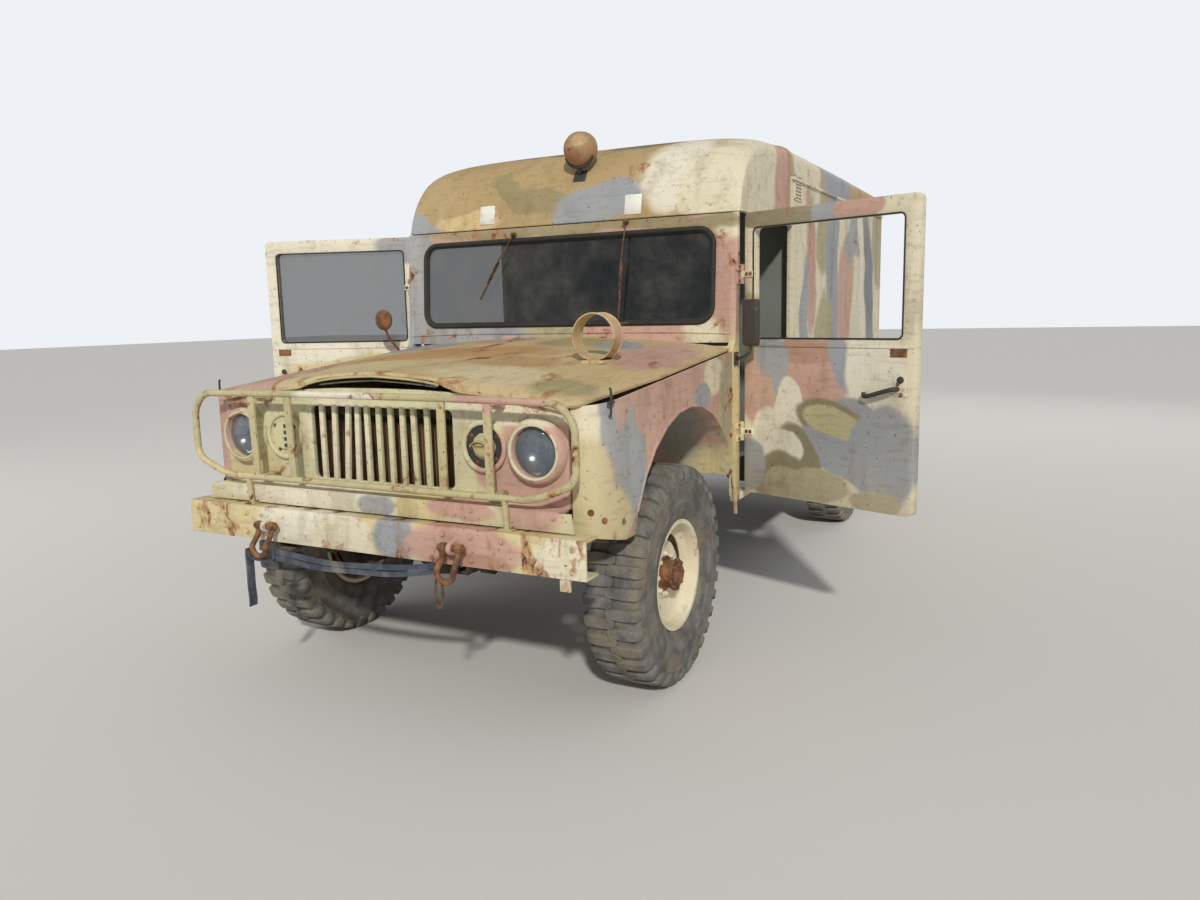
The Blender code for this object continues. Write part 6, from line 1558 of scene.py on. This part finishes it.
def setSideFittings(look):
    # Vent with slats high on the left side, rows of rivets, fender and bumper bolts
    parts = [boxed("vent", (0.9495, 2.478, z0), (0.9560, 2.612, z1), 0.001)
             for z0, z1 in ((2.112, 2.120), (2.236, 2.244))]
    parts += [boxed("vent", (0.9495, y0, 2.112), (0.9560, y1, 2.244), 0.001)
              for y0, y1 in ((2.478, 2.486), (2.604, 2.612))]
    for i in range(6):
        z = 2.128 + 0.018 * i
        rings = [[(0.9500, y, z + 0.009), (0.9502, y, z + 0.011), (0.9580, y, z + 0.002), (0.9572, y, z)]
                 for y in (2.486, 2.604)]
        parts.append(lofted("slat", rings))
    added(joined("vent", parts, 40), paints["side"], "body_side_left")
    for side, flank in flanks.items():
        nodeName = "body_side_" + flank.lower()
        points = [((side * look["skin"], 2.50 + look["pitch"] * i, z), (side, 0.0, 0.0)) for i in range(30)
                  for z in (2.196, 0.642)
                  if z > 1.0 or abs(2.50 + look["pitch"] * i - wheel["stations"]["rear"]) > 0.60]
        points += [((side * look["skin"], y, 0.72 + look["pitch"] * i), (side, 0.0, 0.0)) for i in range(17)
                   for y in (2.478, 5.032)
                   if y > 3.0 or i < 16]
        points += [((side * look["skin"], y, 1.28 + look["pitch"] * i), (side, 0.0, 0.0)) for i in range(11)
                   for y in (3.30, 4.20)]
        fasteners("sideRivets" + flank, points, rivetHead(0.0062, 0.0030), paints["side"], nodeName, 21)
        front = [((side * 0.895, 0.1430, 0.845), (side * 0.4, -0.9, 0.0)),
                 ((side * 0.928, 0.180, 0.812), (side * 0.8, -0.6, 0.0)),
                 ((side * look["skin"], 0.285, 0.790), (side, 0.0, 0.0)),
                 ((side * look["skin"], 1.43, 0.78), (side, 0.0, 0.0)),
                 ((side * look["skin"], 1.43, 0.95), (side, 0.0, 0.0)),
                 ((side * look["skin"], 1.43, 1.16), (side, 0.0, 0.0))]
        fasteners("fenderBolts" + flank, front, boltHead(0.0125, 0.007), rustySteel,
                  "fender_" + flank.lower(), 15)
    points = [((x, 0.0, z), (0.0, -1.0, 0.0)) for x in (-0.90, -0.62, 0.62, 0.90) for z in (0.675, 0.752)]
    points += [((x + a, 0.0, z), (0.0, -1.0, 0.0)) for x in (0.430, -0.475) for a in (-0.060, 0.060)
               for z in (0.672, 0.756)]
    fasteners("bumperBolts", points, boltHead(0.0155, 0.010), paints["bumper"], "front_bumper", 18)
    points = [((x, 0.050, 0.836), (0.0, -1.0, 0.0)) for x in (-0.80, -0.46, -0.12, 0.12, 0.46, 0.80)]
    points += [((side * x, 0.120, z), (0.0, -1.0, 0.0)) for side in (-1, 1)
               for x, z in ((0.805, 0.895), (0.605, 0.885), (0.385, 0.885), (0.385, 1.175), (0.590, 1.178),
                            (0.808, 1.170))]
    fasteners("panelBolts", points, boltHead(0.0105, 0.006), paints["panel"], "front_panel", 19)


for side in (1, -1):
    setDoor(side, door)
setMirrors(mirrors)
setSpotLamp({"place": (0.100, 1.600, 2.336)})
setSideFittings(bodySide)
print("doors, mirrors and fittings made")


# Cab: padded seats, steering wheel and dials

seat = {"across": 0.42, "voxel": 0.006, "pressure": 4.0, "frames": 20, "cap": 0.016}


def padShape(name, rings):
    # A pad's starting form, its corners well rounded
    return edged(lofted(name, rings), 0.018, 4)


def puffed(piece, look, hold):
    # Swells a pad by cloth pressure; hold is the height below which it rests and stays put
    remesh = piece.modifiers.new("even", "REMESH")
    remesh.mode = "VOXEL"
    remesh.voxel_size = look["voxel"] * 1.0
    made = baked(piece)
    before = [vertex.co.copy() for vertex in made.data.vertices]
    cloth = made.modifiers.new("cloth", "CLOTH")
    cloth.settings.use_pressure = True
    cloth.settings.uniform_pressure_force = look["pressure"]
    cloth.settings.effector_weights.gravity = 0.0
    cloth.point_cache.frame_start = 1
    cloth.point_cache.frame_end = look["frames"]
    for frameNumber in range(1, look["frames"] + 1):
        bpy.context.scene.frame_set(frameNumber)
    made = baked(made)
    bpy.context.scene.frame_set(1)
    for vertex, start in zip(made.data.vertices, before):
        move = vertex.co - start
        limit = look["cap"] * (0.15 if hold(start) else 1.0)
        if move.length > limit:
            vertex.co = start + move * (limit / move.length)
    smooth = made.modifiers.new("smooth", "SMOOTH")
    smooth.factor = 0.6
    smooth.iterations = 6
    made = baked(made)
    made.data.shade_smooth()
    return made


def setSeat(side, nodeName, look):
    x = side * look["across"]
    flank = flanks[side]

    def slab(name, low, high, inset):
        rings = []
        for z, draw in ((low, inset), (low + 0.02, 0.0), (high - 0.02, 0.0), (high, inset)):
            rings.append([(x + a * (0.222 - draw), 2.275 + b * (0.212 - draw), z)
                          for a, b in ((-1, -1), (1, -1), (1, 1), (-1, 1))])
        return padShape(name, rings)
    cushion = puffed(slab("cushion" + flank, 1.062, 1.150, 0.012), look, lambda point: point.z < 1.08)
    rings = []
    for share, halfWide in ((0.0, 0.205), (0.5, 0.216), (1.0, 0.200)):
        z = 1.185 + share * 0.415
        lean = share * 0.036
        rings.append([(x - halfWide, 2.447 + lean, z), (x + halfWide, 2.447 + lean, z),
                      (x + halfWide, 2.503 + lean, z), (x - halfWide, 2.503 + lean, z)])
    back = puffed(padShape("backPad" + flank, rings), look, lambda point: point.y > 2.50)
    for pad in (cushion, back):
        added(pad, seatCanvas, nodeName)
    base = boxed("seatBox" + flank, (x - 0.20, 2.10, 0.8255), (x + 0.20, 2.44, 1.058), 0.004)
    added(base, insidePaint, nodeName, True)
    routes = [[(x + a, 2.40, 1.03), (x + a, 2.545, 1.06), (x + a, 2.553, 1.60)] for a in (-0.19, 0.19)]
    bars = [tubed("bar", bentRoute(route, 0.06, 6), 0.009, 10) for route in routes]
    added(joined("seatBars" + flank, bars, 45), darkPaint, nodeName)


steering = {"hub": (0.42, 1.900, 1.360), "foot": (0.42, 1.488, 1.034), "radius": 0.205, "bar": 0.0118,
            "spokes": 3, "dialPlace": (0.42, 1.6745, 1.300)}


def setSteering(look):
    hub, foot = Vector(look["hub"]), Vector(look["foot"])
    heading = (hub - foot).normalized()
    tilt = Vector((0.0, 0.0, 1.0)).rotation_difference(heading).to_matrix().to_4x4()
    place = Matrix.Translation(hub) @ tilt
    parts = [tubed("ring", circle(look["radius"], 60), look["bar"], 12, True)]
    for k in range(look["spokes"]):
        angle = 2 * pi * k / look["spokes"] + pi / 2
        spoke = [(r * cos(angle), r * sin(angle), up)
                 for r, up in ((0.020, -0.010), (0.110, -0.008), (0.203, 0.0))]
        parts.append(tubed("spoke", spoke, [0.0085, 0.0075, 0.0080], 10))
    parts.append(spun("boss",
                      [(-0.044, 0.0), (-0.044, 0.026), (-0.012, 0.035), (0.006, 0.034), (0.012, 0.026),
                       (0.013, 0.0)], (0, 0, 0), "Z", 32))
    added(turnedBy(joined("steeringWheel", parts, 45), place), darkPaint, "steering_wheel", True)
    x, y, z = look["dialPlace"]
    dials = []
    for dx, radius in ((-0.075, 0.032), (0.075, 0.032), (0.0, 0.046), (-0.145, 0.024), (0.145, 0.024)):
        profile = [(0.0, 0.0), (0.0, radius), (0.006, radius + 0.004), (0.009, radius),
                   (0.005, radius - 0.003), (0.005, 0.0)]
        dials.append(spun("dial", profile, (x + dx, y, z), "Y", 28))
    added(joined("dials", dials, 40), darkPaint, "dashboard")


for side, nodeName in ((1, "driver_seat"), (-1, "passenger_seat")):
    setSeat(side, nodeName, seat)
setSteering(steering)
print("seats and steering made")


# Pieces that keep the CAD node's form, with rounded edges and their own finish

coated = {
    "bench_left": (insidePaint, 0.003), "bench_right": (insidePaint, 0.003),
    "body_floor": (insidePaint, 0.003), "body_side_left": (paints["side"], 0.003),
    "body_side_right": (paints["side"], 0.003), "cab_door_left": (paints["doorLeft"], 0.004),
    "cab_door_right": (paints["doorRight"], 0.004), "cab_door_right_glass": (clearPane, 0.0),
    "cab_front": (paints["cabFront"], 0.003), "chassis_frame": (chassisSteel, 0.001),
    "dashboard": (insidePaint, 0.004), "engine_block": (chassisSteel, 0.006), "exhaust": (brownSteel, 0.0),
    "fender_left": (paints["fender"], 0.002), "fender_right": (paints["fender"], 0.002),
    "front_axle": (chassisSteel, 0.002), "front_bumper": (paints["bumper"], 0.002),
    "front_panel": (paints["panel"], 0.001), "fuel_tank": (chassisSteel, 0.006),
    "gearbox_and_drive_shafts": (chassisSteel, 0.004), "knuckle_left": (chassisSteel, 0.002),
    "knuckle_right": (chassisSteel, 0.002), "partition": (insidePaint, 0.002),
    "radiator": (radiatorCore, 0.002), "rear_axle": (chassisSteel, 0.002),
    "rear_door_left": (paints["side"], 0.003), "rear_door_left_glass": (clearPane, 0.0),
    "rear_door_right": (paints["side"], 0.003), "rear_door_right_glass": (clearPane, 0.0),
    "rear_frame": (paints["side"], 0.002), "rear_step": (brownSteel, 0.002),
    "tie_rod": (chassisSteel, 0.001), "windscreen_glass": (darkPane, 0.0),
}
for nodeName, (coat, edge) in coated.items():
    dressed(nodeName, coat, edge)
print("coated pieces made:", len(coated))
